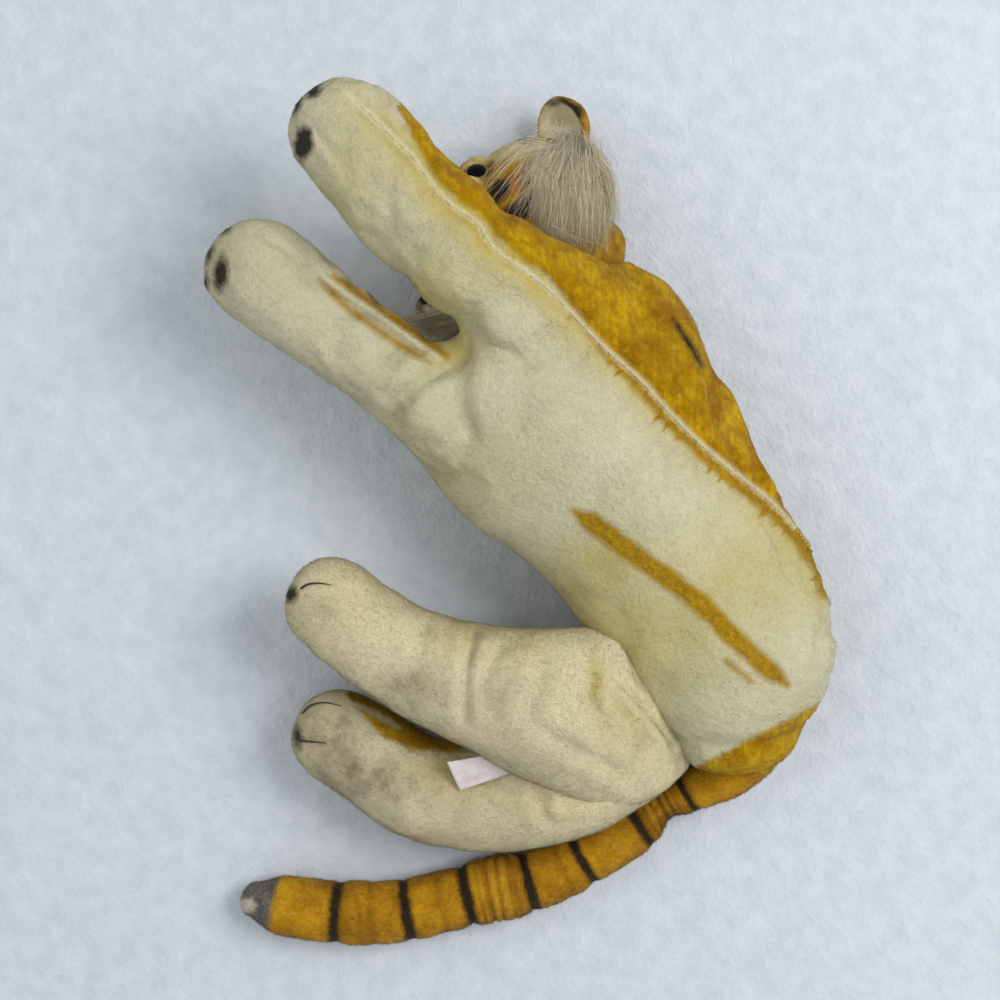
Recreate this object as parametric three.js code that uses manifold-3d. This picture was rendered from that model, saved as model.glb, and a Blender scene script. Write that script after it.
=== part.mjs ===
import * as THREE from 'three';
import { mergeVertices } from 'three/addons/utils/BufferGeometryUtils.js';
import Module from 'manifold-3d';

// A stuffed plush tiger that lies on its back. Millimetres, +X to its head end,
// +Y to its own right side and +Z up through its belly. The floor is at zero.

const wasm = await Module();
wasm.setup();

// Driving dimensions
const torsoLength = 200;
const chestHalfWidth = 65.5;
const torsoHalfHeight = 49;
const clothThickness = 1.6;
const seatGap = 0.3;
const restCut = 0.5;
const cutReach = 600;
const mergeDistance = 1e-5;

const frontLeftLegLength = 122;
const frontLeftLegRadius = 24;
const frontRightLegLength = 110;
const frontRightLegRadius = 24;
const hindLeftLegLength = 118;
const hindLeftThighRadius = 33;
const hindRightLegLength = 96;
const hindRightThighRadius = 27;

const headLength = 42;
const headHalfWidth = 42;
const headHalfHeight = 31.5;
const legOverHeadGap = 1.9;

const earHalfLength = 14;
const earHalfWidth = 13.5;
const earHalfThickness = 4;
const eyeRadius = 5.2;
const eyeBulge = 3.4;
const shankRadius = 1.1;
const shankLength = 11;
const washerRadius = 4.2;
const washerThickness = 1.2;
const noseHalfWidth = 7;
const noseHalfHeight = 4.6;
const noseHalfDepth = 3.4;
const mouthThreadRadius = 0.55;
const mouthHalfWidth = 8;
const mouthDrop = 7;
const ruffHalfLength = 27;
const ruffHalfWidth = 17;
const ruffHalfHeight = 22;
const ruffDepth = 6;
const whiskerRadius = 0.45;
const whiskerLength = 30;
const whiskerPadRadius = 3;

const tailLength = 250;
const tailRadius = 13.6;

const labelLength = 26;
const labelWidth = 17;
const labelThickness = 0.5;

const clawThreadRadius = 0.5;

const neckTurn = 10;
const shoulderLift = 16;
const leftShoulderDrop = 2;
const rightShoulderDrop = 8;
const hipFold = 10;
const hipOpen = 2;
const kneeBend = 10;
const kneeReach = 4;
const tailBend = 15;
const tailTuck = 1;
const turnMargin = 0.6;

// Finishes: colour, roughness and metalness
const finishes = {
  creamPlush: [0xd6cdac, 0.85, 0],
  goldPlush: [0xb9821f, 0.85, 0],
  hindPlush: [0xcdbc91, 0.85, 0],
  tailPlush: [0xaf730f, 0.85, 0],
  darkPlush: [0x5b554c, 0.9, 0],
  noseFelt: [0x19140f, 0.6, 0],
  stuffing: [0xe9e4d4, 0.95, 0],
  mohair: [0xcfc8b8, 0.8, 0],
  eyeGlass: [0x0b0a08, 0.1, 0],
  washerSteel: [0x9a9a98, 0.4, 0.9],
  thread: [0x1c1815, 0.7, 0],
  ribbon: [0xeadfdd, 0.7, 0],
};

// Solids and cuts

function solidOf(geometry) {
  const bare = geometry.index ? geometry.toNonIndexed() : geometry.clone();
  bare.deleteAttribute('normal');
  bare.deleteAttribute('uv');
  const merged = mergeVertices(bare, mergeDistance);
  return new wasm.Manifold(new wasm.Mesh({
    numProp: 3,
    vertProperties: new Float32Array(merged.attributes.position.array),
    triVerts: new Uint32Array(merged.index.array),
  }));
}

function geometryOf(solid) {
  const mesh = solid.getMesh();
  const geometry = new THREE.BufferGeometry();
  geometry.setAttribute('position', new THREE.BufferAttribute(mesh.vertProperties, 3));
  geometry.setIndex(new THREE.BufferAttribute(mesh.triVerts, 1));
  return geometry;
}

function placed(geometry, matrix) {
  return solidOf(geometry.clone().applyMatrix4(matrix));
}

function turned(solid, pivot, axis, degrees) {
  const matrix = new THREE.Matrix4().makeTranslation(pivot.x, pivot.y, pivot.z);
  matrix.multiply(new THREE.Matrix4().makeRotationAxis(axis, THREE.MathUtils.degToRad(degrees)));
  matrix.multiply(new THREE.Matrix4().makeTranslation(-pivot.x, -pivot.y, -pivot.z));
  return placed(geometryOf(solid), matrix);
}

// A block whose one face lies in the plane and that fills the side the normal points to
function halfSpace(point, normal) {
  const block = new THREE.BoxGeometry(cutReach, cutReach, cutReach);
  block.translate(0, 0, cutReach / 2);
  const up = new THREE.Vector3(0, 0, 1);
  const spin = new THREE.Quaternion().setFromUnitVectors(up, normal.clone().normalize());
  const matrix = new THREE.Matrix4().makeRotationFromQuaternion(spin);
  matrix.setPosition(point);
  return placed(block, matrix);
}

function largestPiece(solid) {
  return solid.decompose().reduce((best, piece) => (piece.volume() > best.volume() ? piece : best));
}

// How far round its end a cap's two rings stand
const capTurns = [Math.PI / 2.4, Math.PI / 5];

// A swelling, tapering stuffed form along a centre line, with round ends.
// Each row holds x, y, z, half width and half height.
function form(rows, settings) {
  const { sides, steps, up, grow = 0, startCapShare = 1, endCapShare = 1 } = settings;
  const centres = new THREE.CatmullRomCurve3(rows.map((r) => new THREE.Vector3(r[0], r[1], r[2])));
  const sizes = new THREE.CatmullRomCurve3(rows.map((r, i) => new THREE.Vector3(r[3], r[4], i)));
  const rings = [];
  const ringAt = (t, slide, share, capShare) => {
    const centre = centres.getPoint(t);
    const ahead = centres.getTangent(t);
    const size = sizes.getPoint(t);
    const side = new THREE.Vector3().crossVectors(up, ahead).normalize();
    const over = new THREE.Vector3().crossVectors(ahead, side);
    const halfWidth = (size.x + grow) * share;
    const halfHeight = (size.y + grow) * share;
    centre.addScaledVector(ahead, (Math.min(size.x, size.y) * capShare + grow) * slide);
    const ring = [];
    for (let i = 0; i < sides; i += 1) {
      const angle = ((i + 0.5) / sides) * Math.PI * 2;
      ring.push(centre.clone()
        .addScaledVector(side, Math.cos(angle) * halfWidth)
        .addScaledVector(over, Math.sin(angle) * halfHeight));
    }
    rings.push({ centre, ring });
  };
  capTurns.forEach((turn) => ringAt(0, -Math.sin(turn), Math.cos(turn), startCapShare));
  for (let i = 0; i <= steps; i += 1) {
    ringAt(i / steps, 0, 1, 0);
  }
  [...capTurns].reverse().forEach((turn) => ringAt(1, Math.sin(turn), Math.cos(turn), endCapShare));
  const points = rings.flatMap(({ ring }) => ring);
  const first = points.push(rings[0].centre) - 1;
  const last = points.push(rings[rings.length - 1].centre) - 1;
  const index = [];
  for (let j = 0; j < rings.length - 1; j += 1) {
    for (let i = 0; i < sides; i += 1) {
      const next = (i + 1) % sides;
      const a = j * sides + i;
      const b = j * sides + next;
      const c = (j + 1) * sides + next;
      const d = (j + 1) * sides + i;
      index.push(a, b, c, a, c, d);
    }
  }
  const top = (rings.length - 1) * sides;
  for (let i = 0; i < sides; i += 1) {
    const next = (i + 1) % sides;
    index.push(first, next, i);
    index.push(last, top + i, top + next);
  }
  const geometry = new THREE.BufferGeometry();
  const coordinates = points.flatMap((point) => point.toArray());
  geometry.setAttribute('position', new THREE.Float32BufferAttribute(coordinates, 3));
  geometry.setIndex(index);
  return solidOf(geometry);
}

const upward = new THREE.Vector3(0, 0, 1);
const across = new THREE.Vector3(0, 1, 0);
const floor = halfSpace(new THREE.Vector3(0, 0, 0), new THREE.Vector3(0, 0, -1));

// Torso: shares of its length, half width and half height, and of the height its back rises
const torsoShares = [
  [0.47, -0.03, 0.83, 0.78, 0.2],
  [0.39, 0.015, 0.955, 0.94, 0.06],
  [0.28, 0.055, 1, 1, 0],
  [0.11, 0.06, 0.895, 0.98, 0],
  [-0.05, 0.07, 0.822, 0.94, 0],
  [-0.21, 0.105, 0.81, 0.92, 0],
  [-0.34, 0.19, 0.8, 0.9, 0.02],
  [-0.44, 0.35, 0.68, 0.82, 0.08],
  [-0.51, 0.51, 0.46, 0.62, 0.2],
];
const torsoSides = 16;
const torsoRows = torsoShares.map(([along, aside, wide, high, rise]) => [
  along * torsoLength,
  aside * chestHalfWidth,
  (high * Math.cos(Math.PI / torsoSides) + rise) * torsoHalfHeight - restCut,
  wide * chestHalfWidth,
  high * torsoHalfHeight,
]);
const torsoSettings = { sides: torsoSides, steps: 7, up: upward, startCapShare: 0.32, endCapShare: 0.75 };

function torsoForm(grow, sides = torsoSettings.sides) {
  return form(torsoRows, { ...torsoSettings, grow, sides });
}

const torsoPoint = (along, aside, high) => new THREE.Vector3(
  along * torsoLength,
  aside * chestHalfWidth,
  high * torsoHalfHeight,
);

// Limbs: each row is a share of the length ahead, aside and up from the root, then
// shares of the largest radius for the half width and the half height
function limbRows(root, length, radius, shares) {
  return shares.map(([ahead, aside, high, wide, tall]) => [
    root.x + ahead * length,
    root.y + aside * length,
    root.z + high * length,
    wide * radius,
    tall * radius,
  ]);
}

const limbSettings = { sides: 10, steps: 5, up: upward };
const limbHollowSides = 8;
const bodyHollowSides = 10;

const frontLeft = {
  root: torsoPoint(0.41, -0.1, 1.43),
  length: frontLeftLegLength,
  radius: frontLeftLegRadius,
  shares: [
    [0, -0.12, 0.01, 1.5, 1],
    [0.17, -0.06, 0.07, 1.36, 1],
    [0.4, 0.06, 0.12, 1.05, 0.97],
    [0.71, 0.105, 0.14, 0.98, 0.95],
    [1, 0.12, 0.14, 1, 0.95],
  ],
};
const frontRight = {
  root: torsoPoint(0.385, 0.74, 1.27),
  length: frontRightLegLength,
  radius: frontRightLegRadius,
  shares: [
    [0, 0, 0, 0.93, 0.93],
    [0.14, 0.02, 0.02, 0.88, 0.88],
    [0.31, 0.055, 0.02, 0.855, 0.855],
    [0.64, 0.145, 0, 0.875, 0.875],
    [0.98, 0.247, -0.02, 1, 0.97],
  ],
};
const hindLeft = {
  root: torsoPoint(-0.345, 0.92, 1.2),
  length: hindLeftLegLength,
  radius: hindLeftThighRadius,
  shares: [
    [0, 0, 0, 1, 0.85],
    [0.21, 0.21, 0, 0.97, 0.84],
    [0.436, 0.424, -0.035, 0.79, 0.74],
    [0.636, 0.551, -0.06, 0.68, 0.66],
    [0.834, 0.64, -0.075, 0.67, 0.66],
    [1, 0.674, -0.075, 0.68, 0.66],
  ],
};
const hindRight = {
  root: torsoPoint(-0.47, 1.07, 0.66),
  length: hindRightLegLength,
  radius: hindRightThighRadius,
  shares: [
    [-0.02, 0, 0, 1, 0.85],
    [0.12, 0.438, -0.02, 0.945, 0.85],
    [0.333, 0.76, -0.05, 0.907, 0.86],
    [0.547, 0.958, -0.06, 0.89, 0.86],
    [0.808, 1.06, -0.06, 0.833, 0.82],
    [0.975, 1.11, -0.06, 0.837, 0.82],
  ],
};

function limbForm(limb, grow, sides = limbSettings.sides) {
  const rows = limbRows(limb.root, limb.length, limb.radius, limb.shares);
  return form(rows, { ...limbSettings, grow, sides });
}

// Tail: shares of its length ahead and aside from the root, then shares of its radius
// for its size and for the height its underside rises
const tailShares = [
  [0, 0, 0.85, 1.15],
  [-0.036, 0.032, 0.88, 0.95],
  [-0.046, 0.1, 0.9, 0.6],
  [-0.038, 0.188, 0.74, 0.3],
  [-0.026, 0.28, 0.9, 0.1],
  [-0.016, 0.388, 0.96, 0],
  [0.008, 0.508, 1, 0],
  [0.056, 0.612, 1, 0],
  [0.12, 0.752, 1.03, 0],
  [0.2, 0.856, 1.05, 0],
  [0.268, 0.924, 0.96, 0],
  [0.306, 0.956, 0.62, 0.25],
];
const tailRoot = torsoPoint(-0.56, 0.305, 0);
const tailSides = 10;
const tailRows = tailShares.map(([ahead, aside, size, rise]) => [
  tailRoot.x + ahead * tailLength,
  tailRoot.y + aside * tailLength,
  (size * Math.cos(Math.PI / tailSides) + rise) * tailRadius - restCut,
  size * tailRadius,
  size * tailRadius,
]);
const tailSettings = { sides: tailSides, steps: 12, up: upward, endCapShare: 0.7 };

function tailForm(grow, sides = tailSides) {
  return form(tailRows, { ...tailSettings, grow, sides });
}

// A place on a form's centre line, by its share of the rows, and the way the line runs there
const rowPlace = ([x, y, z]) => new THREE.Vector3(x, y, z);
const rowPoint = (rows, share) => rowPlace(rows[Math.round(share * rows.length)]);
const rowHeading = (rows, share) => {
  const i = Math.round(share * rows.length);
  return rowPlace(rows[i + 1]).sub(rowPlace(rows[i - 1])).normalize();
};

const rowsOf = (limb) => limbRows(limb.root, limb.length, limb.radius, limb.shares);
const hindLeftRows = rowsOf(hindLeft);
const hindRightRows = rowsOf(hindRight);
const thighShare = 0.17;
const kneeShare = 0.5;
const shankShare = 0.67;
const tailCreaseShare = 0.25;
const tailGatherShare = 0.6;
const tailTipShare = 0.85;

// Joints
const jointOf = {
  neck: { pivot: torsoPoint(0.485, -0.45, 0.8), axis: upward, low: -neckTurn, high: neckTurn },
  frontLeft: {
    pivot: torsoPoint(0.5, -0.06, 1.55),
    axis: across,
    low: -shoulderLift,
    high: leftShoulderDrop,
  },
  frontRight: {
    pivot: torsoPoint(0.46, 0.76, 1.28),
    axis: across,
    low: -shoulderLift,
    high: rightShoulderDrop,
  },
  hip: { pivot: torsoPoint(-0.4, 0.98, 0.95), axis: upward, low: -hipFold, high: hipOpen },
  leftKnee: { pivot: rowPoint(hindLeftRows, kneeShare), axis: upward, low: -kneeBend, high: kneeReach },
  rightKnee: { pivot: rowPoint(hindRightRows, kneeShare), axis: upward, low: -kneeReach, high: kneeBend },
  tailCrease: { pivot: rowPoint(tailRows, tailCreaseShare), axis: upward, low: -tailTuck, high: tailBend },
  tailGather: { pivot: rowPoint(tailRows, tailGatherShare), axis: upward, low: -tailBend, high: tailBend },
};

// Cuts a limb by what carries it, over the whole turn of its joint
const stopShares = [0, 0.25, 0.5, 0.75, 1];

function clearedBy(solid, blocker, joint) {
  const stops = stopShares.map(
    (share) => THREE.MathUtils.lerp(joint.low - turnMargin, joint.high + turnMargin, share),
  );
  return [...stops, 0].reduce(
    (left, degrees) => left.subtract(turned(blocker, joint.pivot, joint.axis, -degrees)),
    solid,
  );
}

// The part of a form behind a bend, with a flat end
function beforeBend(solid, joint, heading) {
  return solid.intersect(halfSpace(joint.pivot, heading.clone().negate()));
}

// The part ahead of a bend, its end a wedge that leaves room for the whole turn
function afterBend(solid, joint, heading) {
  const start = joint.pivot.clone().addScaledVector(heading, seatGap);
  return [joint.low - turnMargin, joint.high + turnMargin].reduce((left, degrees) => {
    const normal = heading.clone().applyAxisAngle(joint.axis, THREE.MathUtils.degToRad(-degrees));
    return left.intersect(halfSpace(start, normal));
  }, solid);
}

const pieces = [];

function addPiece(name, solid, finish) {
  pieces.push({ name, solid: largestPiece(solid), finish });
}

// A seam plane splits a cover in two
function coverPanels(cover, point, normal) {
  const gap = normal.clone().normalize().multiplyScalar(seatGap / 2);
  return [
    cover.intersect(halfSpace(point.clone().add(gap), normal)),
    cover.intersect(halfSpace(point.clone().sub(gap), normal.clone().negate())),
  ];
}

// Head: its own frame is X to the nose, Y to its left and Z to the crown
const headPlaceShares = { ahead: 0.455, aside: -0.504, lift: 1.016 };
const headCentre = new THREE.Vector3(
  headPlaceShares.ahead * torsoLength + headLength,
  headPlaceShares.aside * chestHalfWidth,
  headPlaceShares.lift * headHalfHeight,
);
const noseward = new THREE.Vector3(0.8, 0.39, 0.45).normalize();
const leftward = new THREE.Vector3(0.44, -0.89, 0).normalize();
const crownward = new THREE.Vector3().crossVectors(noseward, leftward).normalize();
leftward.crossVectors(crownward, noseward);
const headMatrix = new THREE.Matrix4().makeBasis(noseward, leftward, crownward).setPosition(headCentre);
const headPoint = (ahead, left, high) => new THREE.Vector3(
  ahead * headLength,
  left * headHalfWidth,
  high * headHalfHeight,
);
const headShares = [
  [-0.62, 0, 0.62, 0.66],
  [-0.3, 0.03, 0.93, 0.93],
  [0.1, 0.04, 1, 1],
  [0.42, -0.03, 0.88, 0.86],
  [0.64, -0.14, 0.62, 0.6],
  [0.82, -0.2, 0.47, 0.45],
];
const headRows = headShares.map(([ahead, high, wide, tall]) => [
  ahead * headLength,
  0,
  high * headHalfHeight,
  wide * headHalfWidth,
  tall * headHalfHeight,
]);
const headSettings = { sides: 12, steps: 5, up: upward, startCapShare: 0.75, endCapShare: 0.75 };

function headForm(grow, sides = headSettings.sides) {
  return form(headRows, { ...headSettings, grow, sides });
}

const intoWorld = (solid) => placed(geometryOf(solid), headMatrix);
const headBlocker = headForm(seatGap);
const headStops = [-neckTurn - turnMargin, 0, neckTurn + turnMargin];
const headUnderLeg = intoWorld(headForm(legOverHeadGap));
const headSweep = headStops.map((degrees) => turned(headUnderLeg, jointOf.neck.pivot, upward, degrees));

// A front leg at its lowest stays clear of the head, however that turns
function clearedOfHead(solid, joint) {
  const drop = joint.high + turnMargin;
  return headSweep.reduce(
    (left, head) => left.subtract(turned(head, joint.pivot, joint.axis, -drop)).subtract(head),
    solid,
  );
}

const torsoOuter = torsoForm(0).subtract(floor);
const torsoBlocker = torsoForm(seatGap);

// Seam planes, by the way that the first panel of each pair faces
const flankSeam = new THREE.Vector3(-0.24, 0.5, 1);
const flankSeamPoint = torsoPoint(0, 0, 1.1);
const spineSeam = new THREE.Vector3(-0.1, 1, 0);
const spineSeamPoint = torsoPoint(0, -0.3, 0);
const frontLeftSeam = new THREE.Vector3(-0.06, 0.53, 0.85);
const frontRightSeam = new THREE.Vector3(-0.14, 0.6, 0.8);
const hindLeftSeam = new THREE.Vector3(0.2, 0.2, 0.9);
const hindRightSeam = new THREE.Vector3(-0.3, 0.5, 0.8);

function buildTorso() {
  const cover = torsoOuter.subtract(torsoForm(-clothThickness, bodyHollowSides));
  const [belly, back] = coverPanels(cover, flankSeamPoint, flankSeam);
  const [right, left] = coverPanels(back, spineSeamPoint, spineSeam);
  addPiece('belly_cover', belly, finishes.creamPlush);
  addPiece('back_cover_right', right, finishes.goldPlush);
  addPiece('back_cover_left', left, finishes.goldPlush);
  addPiece('torso_stuffing', torsoForm(-clothThickness - seatGap, bodyHollowSides), finishes.stuffing);
}

// A limb or a stretch of one: its cover in two panels and the stuffing that fills it
function addStuffedPair(name, cover, filling, point, seamNormal, innerFinish, outerFinish) {
  const [inner, outer] = coverPanels(cover, point, seamNormal);
  addPiece(`${name}_inner_cover`, inner, innerFinish);
  addPiece(`${name}_outer_cover`, outer, outerFinish);
  addPiece(`${name}_stuffing`, filling, finishes.stuffing);
}

function buildFrontLeg(name, limb, joint, seamNormal) {
  const clear = (solid) => clearedOfHead(clearedBy(solid, torsoBlocker, joint), joint);
  const cover = clear(limbForm(limb, 0).subtract(limbForm(limb, -clothThickness, limbHollowSides)));
  const filling = clear(limbForm(limb, -clothThickness - seatGap, limbHollowSides));
  const point = rowPoint(rowsOf(limb), kneeShare);
  addStuffedPair(name, cover, filling, point, seamNormal, finishes.creamPlush, finishes.goldPlush);
}

function buildHindLeg(side, limb, rows, knee, neighbours, seamNormal, outerFinish) {
  const heading = rowHeading(rows, kneeShare);
  const clear = (solid) => neighbours.reduce(
    (left, neighbour) => left.subtract(neighbour),
    clearedBy(clearedBy(solid, torsoBlocker, jointOf.hip), tailForm(seatGap), jointOf.hip),
  );
  const clearCover = clear(limbForm(limb, 0).subtract(limbForm(limb, -clothThickness, limbHollowSides)));
  const clearFilling = clear(limbForm(limb, -clothThickness - seatGap, limbHollowSides));
  const parts = [
    ['thigh', beforeBend, rowPoint(rows, thighShare)],
    ['paw', afterBend, rowPoint(rows, shankShare)],
  ];
  parts.forEach(([part, cut, point]) => addStuffedPair(
    `hind_${side}_${part}`,
    cut(clearCover, knee, heading),
    cut(clearFilling, knee, heading),
    point,
    seamNormal,
    finishes.hindPlush,
    outerFinish,
  ));
}

const tailOuter = tailForm(0).subtract(floor);

function buildTail() {
  const cover = tailOuter.subtract(torsoBlocker).subtract(tailForm(-clothThickness, limbHollowSides));
  const filling = tailForm(-clothThickness - seatGap, limbHollowSides).subtract(torsoBlocker);
  const crease = rowHeading(tailRows, tailCreaseShare);
  const gather = rowHeading(tailRows, tailGatherShare);
  const tipPoint = rowPoint(tailRows, tailTipShare);
  const tipHeading = rowHeading(tailRows, tailTipShare);
  const stretches = (solid) => {
    const beyondCrease = afterBend(solid, jointOf.tailCrease, crease);
    return {
      base: beforeBend(solid, jointOf.tailCrease, crease),
      middle: beforeBend(beyondCrease, jointOf.tailGather, gather),
      end: afterBend(beyondCrease, jointOf.tailGather, gather),
    };
  };
  const covers = stretches(cover);
  const fillings = stretches(filling);
  const [tip, end] = coverPanels(covers.end, tipPoint, tipHeading);
  addPiece('tail_base_cover', covers.base, finishes.tailPlush);
  addPiece('tail_middle_cover', covers.middle, finishes.tailPlush);
  addPiece('tail_end_cover', end, finishes.tailPlush);
  addPiece('tail_tip_cover', tip, finishes.darkPlush);
  addPiece('tail_base_stuffing', fillings.base, finishes.stuffing);
  addPiece('tail_middle_stuffing', fillings.middle, finishes.stuffing);
  addPiece('tail_end_stuffing', fillings.end, finishes.stuffing);
}

// Where a ray from inside the head leaves it, with the way its surface faces there
const bothSides = new THREE.MeshBasicMaterial({ side: THREE.DoubleSide });
const headSurface = new THREE.Mesh(geometryOf(headForm(0)), bothSides);

function headSeat(from, direction) {
  const ray = new THREE.Raycaster(from, direction.clone().normalize());
  const hit = ray.intersectObject(headSurface).pop();
  return { point: hit.point, normal: hit.face.normal.clone().normalize() };
}

function standingOn(geometry, seat, facing, lift) {
  const spin = new THREE.Quaternion().setFromUnitVectors(upward, facing.clone().normalize());
  const matrix = new THREE.Matrix4().makeRotationFromQuaternion(spin);
  matrix.setPosition(seat.point.clone().addScaledVector(facing.clone().normalize(), lift));
  return placed(geometry, matrix);
}

// A thin thread or hair along a curve
function strand(points, radius, sides, steps) {
  const outline = new THREE.Shape();
  for (let i = 0; i < sides; i += 1) {
    const angle = (i / sides) * Math.PI * 2;
    const corner = [Math.cos(angle) * radius, Math.sin(angle) * radius];
    if (i === 0) outline.moveTo(...corner);
    else outline.lineTo(...corner);
  }
  outline.closePath();
  const path = new THREE.CatmullRomCurve3(points);
  return solidOf(new THREE.ExtrudeGeometry(outline, { steps, extrudePath: path, bevelEnabled: false }));
}

const ballSides = 8;
const ballRings = 6;

function ellipsoid(centre, sizes, rotation) {
  const ball = new THREE.SphereGeometry(1, ballSides, ballRings);
  const matrix = new THREE.Matrix4().compose(centre, rotation, sizes);
  return placed(ball, matrix);
}

const still = new THREE.Quaternion();

const eyeSides = 12;
const eyeLiftShare = 0.35;
const washerDepthShare = 0.72;
const eyeShares = { from: [0.24, 0.1, 0], toward: [0.69, 0.29, 0.19], facing: [0.89, 0.42, -0.05] };

function eyeGeometry() {
  const dome = [];
  const domeSteps = 5;
  for (let i = 0; i <= domeSteps; i += 1) {
    const angle = (i / domeSteps) * Math.PI / 2;
    dome.push(new THREE.Vector2(Math.cos(angle) * eyeRadius, Math.sin(angle) * eyeBulge));
  }
  dome[domeSteps].x = 0;
  return new THREE.LatheGeometry([
    new THREE.Vector2(0, -shankLength),
    new THREE.Vector2(shankRadius, -shankLength),
    new THREE.Vector2(shankRadius, 0),
    ...dome,
  ], eyeSides).rotateX(Math.PI / 2);
}

function rodGeometry(radius, low, high, sides) {
  return new THREE.LatheGeometry([
    new THREE.Vector2(0, low),
    new THREE.Vector2(radius, low),
    new THREE.Vector2(radius, high),
    new THREE.Vector2(0, high),
  ], sides).rotateX(Math.PI / 2);
}

function ringGeometry(inner, outer, low, high, sides) {
  return new THREE.LatheGeometry([
    new THREE.Vector2(inner, low),
    new THREE.Vector2(outer, low),
    new THREE.Vector2(outer, high),
    new THREE.Vector2(inner, high),
    new THREE.Vector2(inner, low),
  ], sides).rotateX(Math.PI / 2);
}

function buildHead() {
  let cover = headForm(0).subtract(headForm(-clothThickness, bodyHollowSides));
  let filling = headForm(-clothThickness - seatGap, bodyHollowSides);
  const worldFloor = placed(geometryOf(floor), headMatrix.clone().invert());
  cover = cover.subtract(worldFloor);

  [['left', 1], ['right', -1]].forEach(([side, sign]) => {
    const mirrored = ([ahead, left, high]) => headPoint(ahead, left * sign, high);
    const from = mirrored(eyeShares.from);
    const seat = headSeat(from, mirrored(eyeShares.toward).sub(from));
    const facing = new THREE.Vector3(eyeShares.facing[0], eyeShares.facing[1] * sign, eyeShares.facing[2]);
    const eyeLift = eyeRadius * eyeLiftShare;
    const washerLow = -shankLength * washerDepthShare;
    const washerHigh = washerLow + washerThickness;
        const seated = (geometry) => standingOn(geometry, seat, facing, eyeLift);
    const rod = (radius, low, high) => seated(rodGeometry(radius + seatGap, low - seatGap, high, eyeSides));
    const eyeHole = rod(shankRadius, -shankLength, eyeRadius);
    const washerRoom = rod(washerRadius, washerLow, washerHigh + seatGap);
    const eyeBed = rod(eyeRadius, 0, eyeRadius * 2);
    const washer = seated(
      ringGeometry(shankRadius + seatGap, washerRadius, washerLow, washerHigh, eyeSides),
    );
    cover = cover.subtract(eyeHole).subtract(eyeBed);
    filling = filling.subtract(eyeHole).subtract(washerRoom).subtract(eyeBed);
    addPiece(`eye_${side}`, intoWorld(seated(eyeGeometry())), finishes.eyeGlass);
    addPiece(`eye_washer_${side}`, intoWorld(washer), finishes.washerSteel);
  });

  const clearCover = clearedBy(intoWorld(cover), torsoBlocker, jointOf.neck);
  const clearFilling = clearedBy(intoWorld(filling), torsoBlocker, jointOf.neck);
  const [left, right] = coverPanels(clearCover, headCentre, leftward);
  addPiece('head_cover_left', left, finishes.goldPlush);
  addPiece('head_cover_right', right, finishes.goldPlush);
  addPiece('head_stuffing', clearFilling, finishes.stuffing);
}

const earFacing = new THREE.Vector3(0.55, 0, -0.83).normalize();
const earShares = { left: [-0.1, 1.27, 0.33], right: [0.12, -1.16, 0.4] };

function buildEar(side) {
  const centre = headPoint(...earShares[side]);
  const spin = new THREE.Quaternion().setFromUnitVectors(upward, earFacing);
  const ear = ellipsoid(centre, new THREE.Vector3(earHalfWidth, earHalfLength, earHalfThickness), spin);
  const clear = clearedBy(intoWorld(ear.subtract(headBlocker)).subtract(floor), torsoBlocker, jointOf.neck);
  const front = earFacing.clone().transformDirection(headMatrix);
  const [lining, back] = coverPanels(clear, centre.clone().applyMatrix4(headMatrix), front);
  addPiece(`ear_lining_${side}`, lining, finishes.creamPlush);
  addPiece(`ear_cover_${side}`, back, finishes.goldPlush);
}

const noseShares = [0.4, 0, -0.2];
const noseFacing = new THREE.Vector3(1, 0, 0.22);
const mouthShares = [-1, -0.55, -0.1, 0, 0.1, 0.55, 1];
const mouthDropShares = [0.8, 1, 0.55, 0.45, 0.55, 1, 0.8];
const threadSides = 5;
const mouthSteps = 10;

function buildFace() {
  const noseFrom = headPoint(...noseShares);
  const noseSeat = headSeat(noseFrom, noseFacing);
  const noseSize = new THREE.Vector3(noseHalfDepth, noseHalfWidth, noseHalfHeight);
  const nose = ellipsoid(noseSeat.point, noseSize, still).subtract(headBlocker);
  addPiece('nose', intoWorld(nose), finishes.noseFelt);

  const mouthPoints = mouthShares.map((share, i) => {
    const drop = mouthDropShares[i] * mouthDrop;
    const target = new THREE.Vector3(headLength, share * mouthHalfWidth, noseFrom.z - drop);
    const seat = headSeat(noseFrom, target.sub(noseFrom));
    return seat.point.addScaledVector(seat.normal, mouthThreadRadius + seatGap);
  });
  const mouth = strand(mouthPoints, mouthThreadRadius, threadSides, mouthSteps).subtract(headBlocker);
  addPiece('mouth_stitch', intoWorld(mouth), finishes.thread);
}

// Whiskers: fine hairs that stand on one small pad at each side of the muzzle
const whiskerRootShares = [0.5, 0, -0.22];
const whiskerAside = [0.75, -0.18];
const whiskerStepShares = [0.1, 0.5, 1];
const whiskerCurlShare = 0.35;
const whiskerSides = 3;
const whiskerSteps = 4;
const whiskerShares = [[0.5, 0.86, 0.3], [0.35, 0.93, 0.12], [0.2, 0.95, -0.05]];

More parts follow.
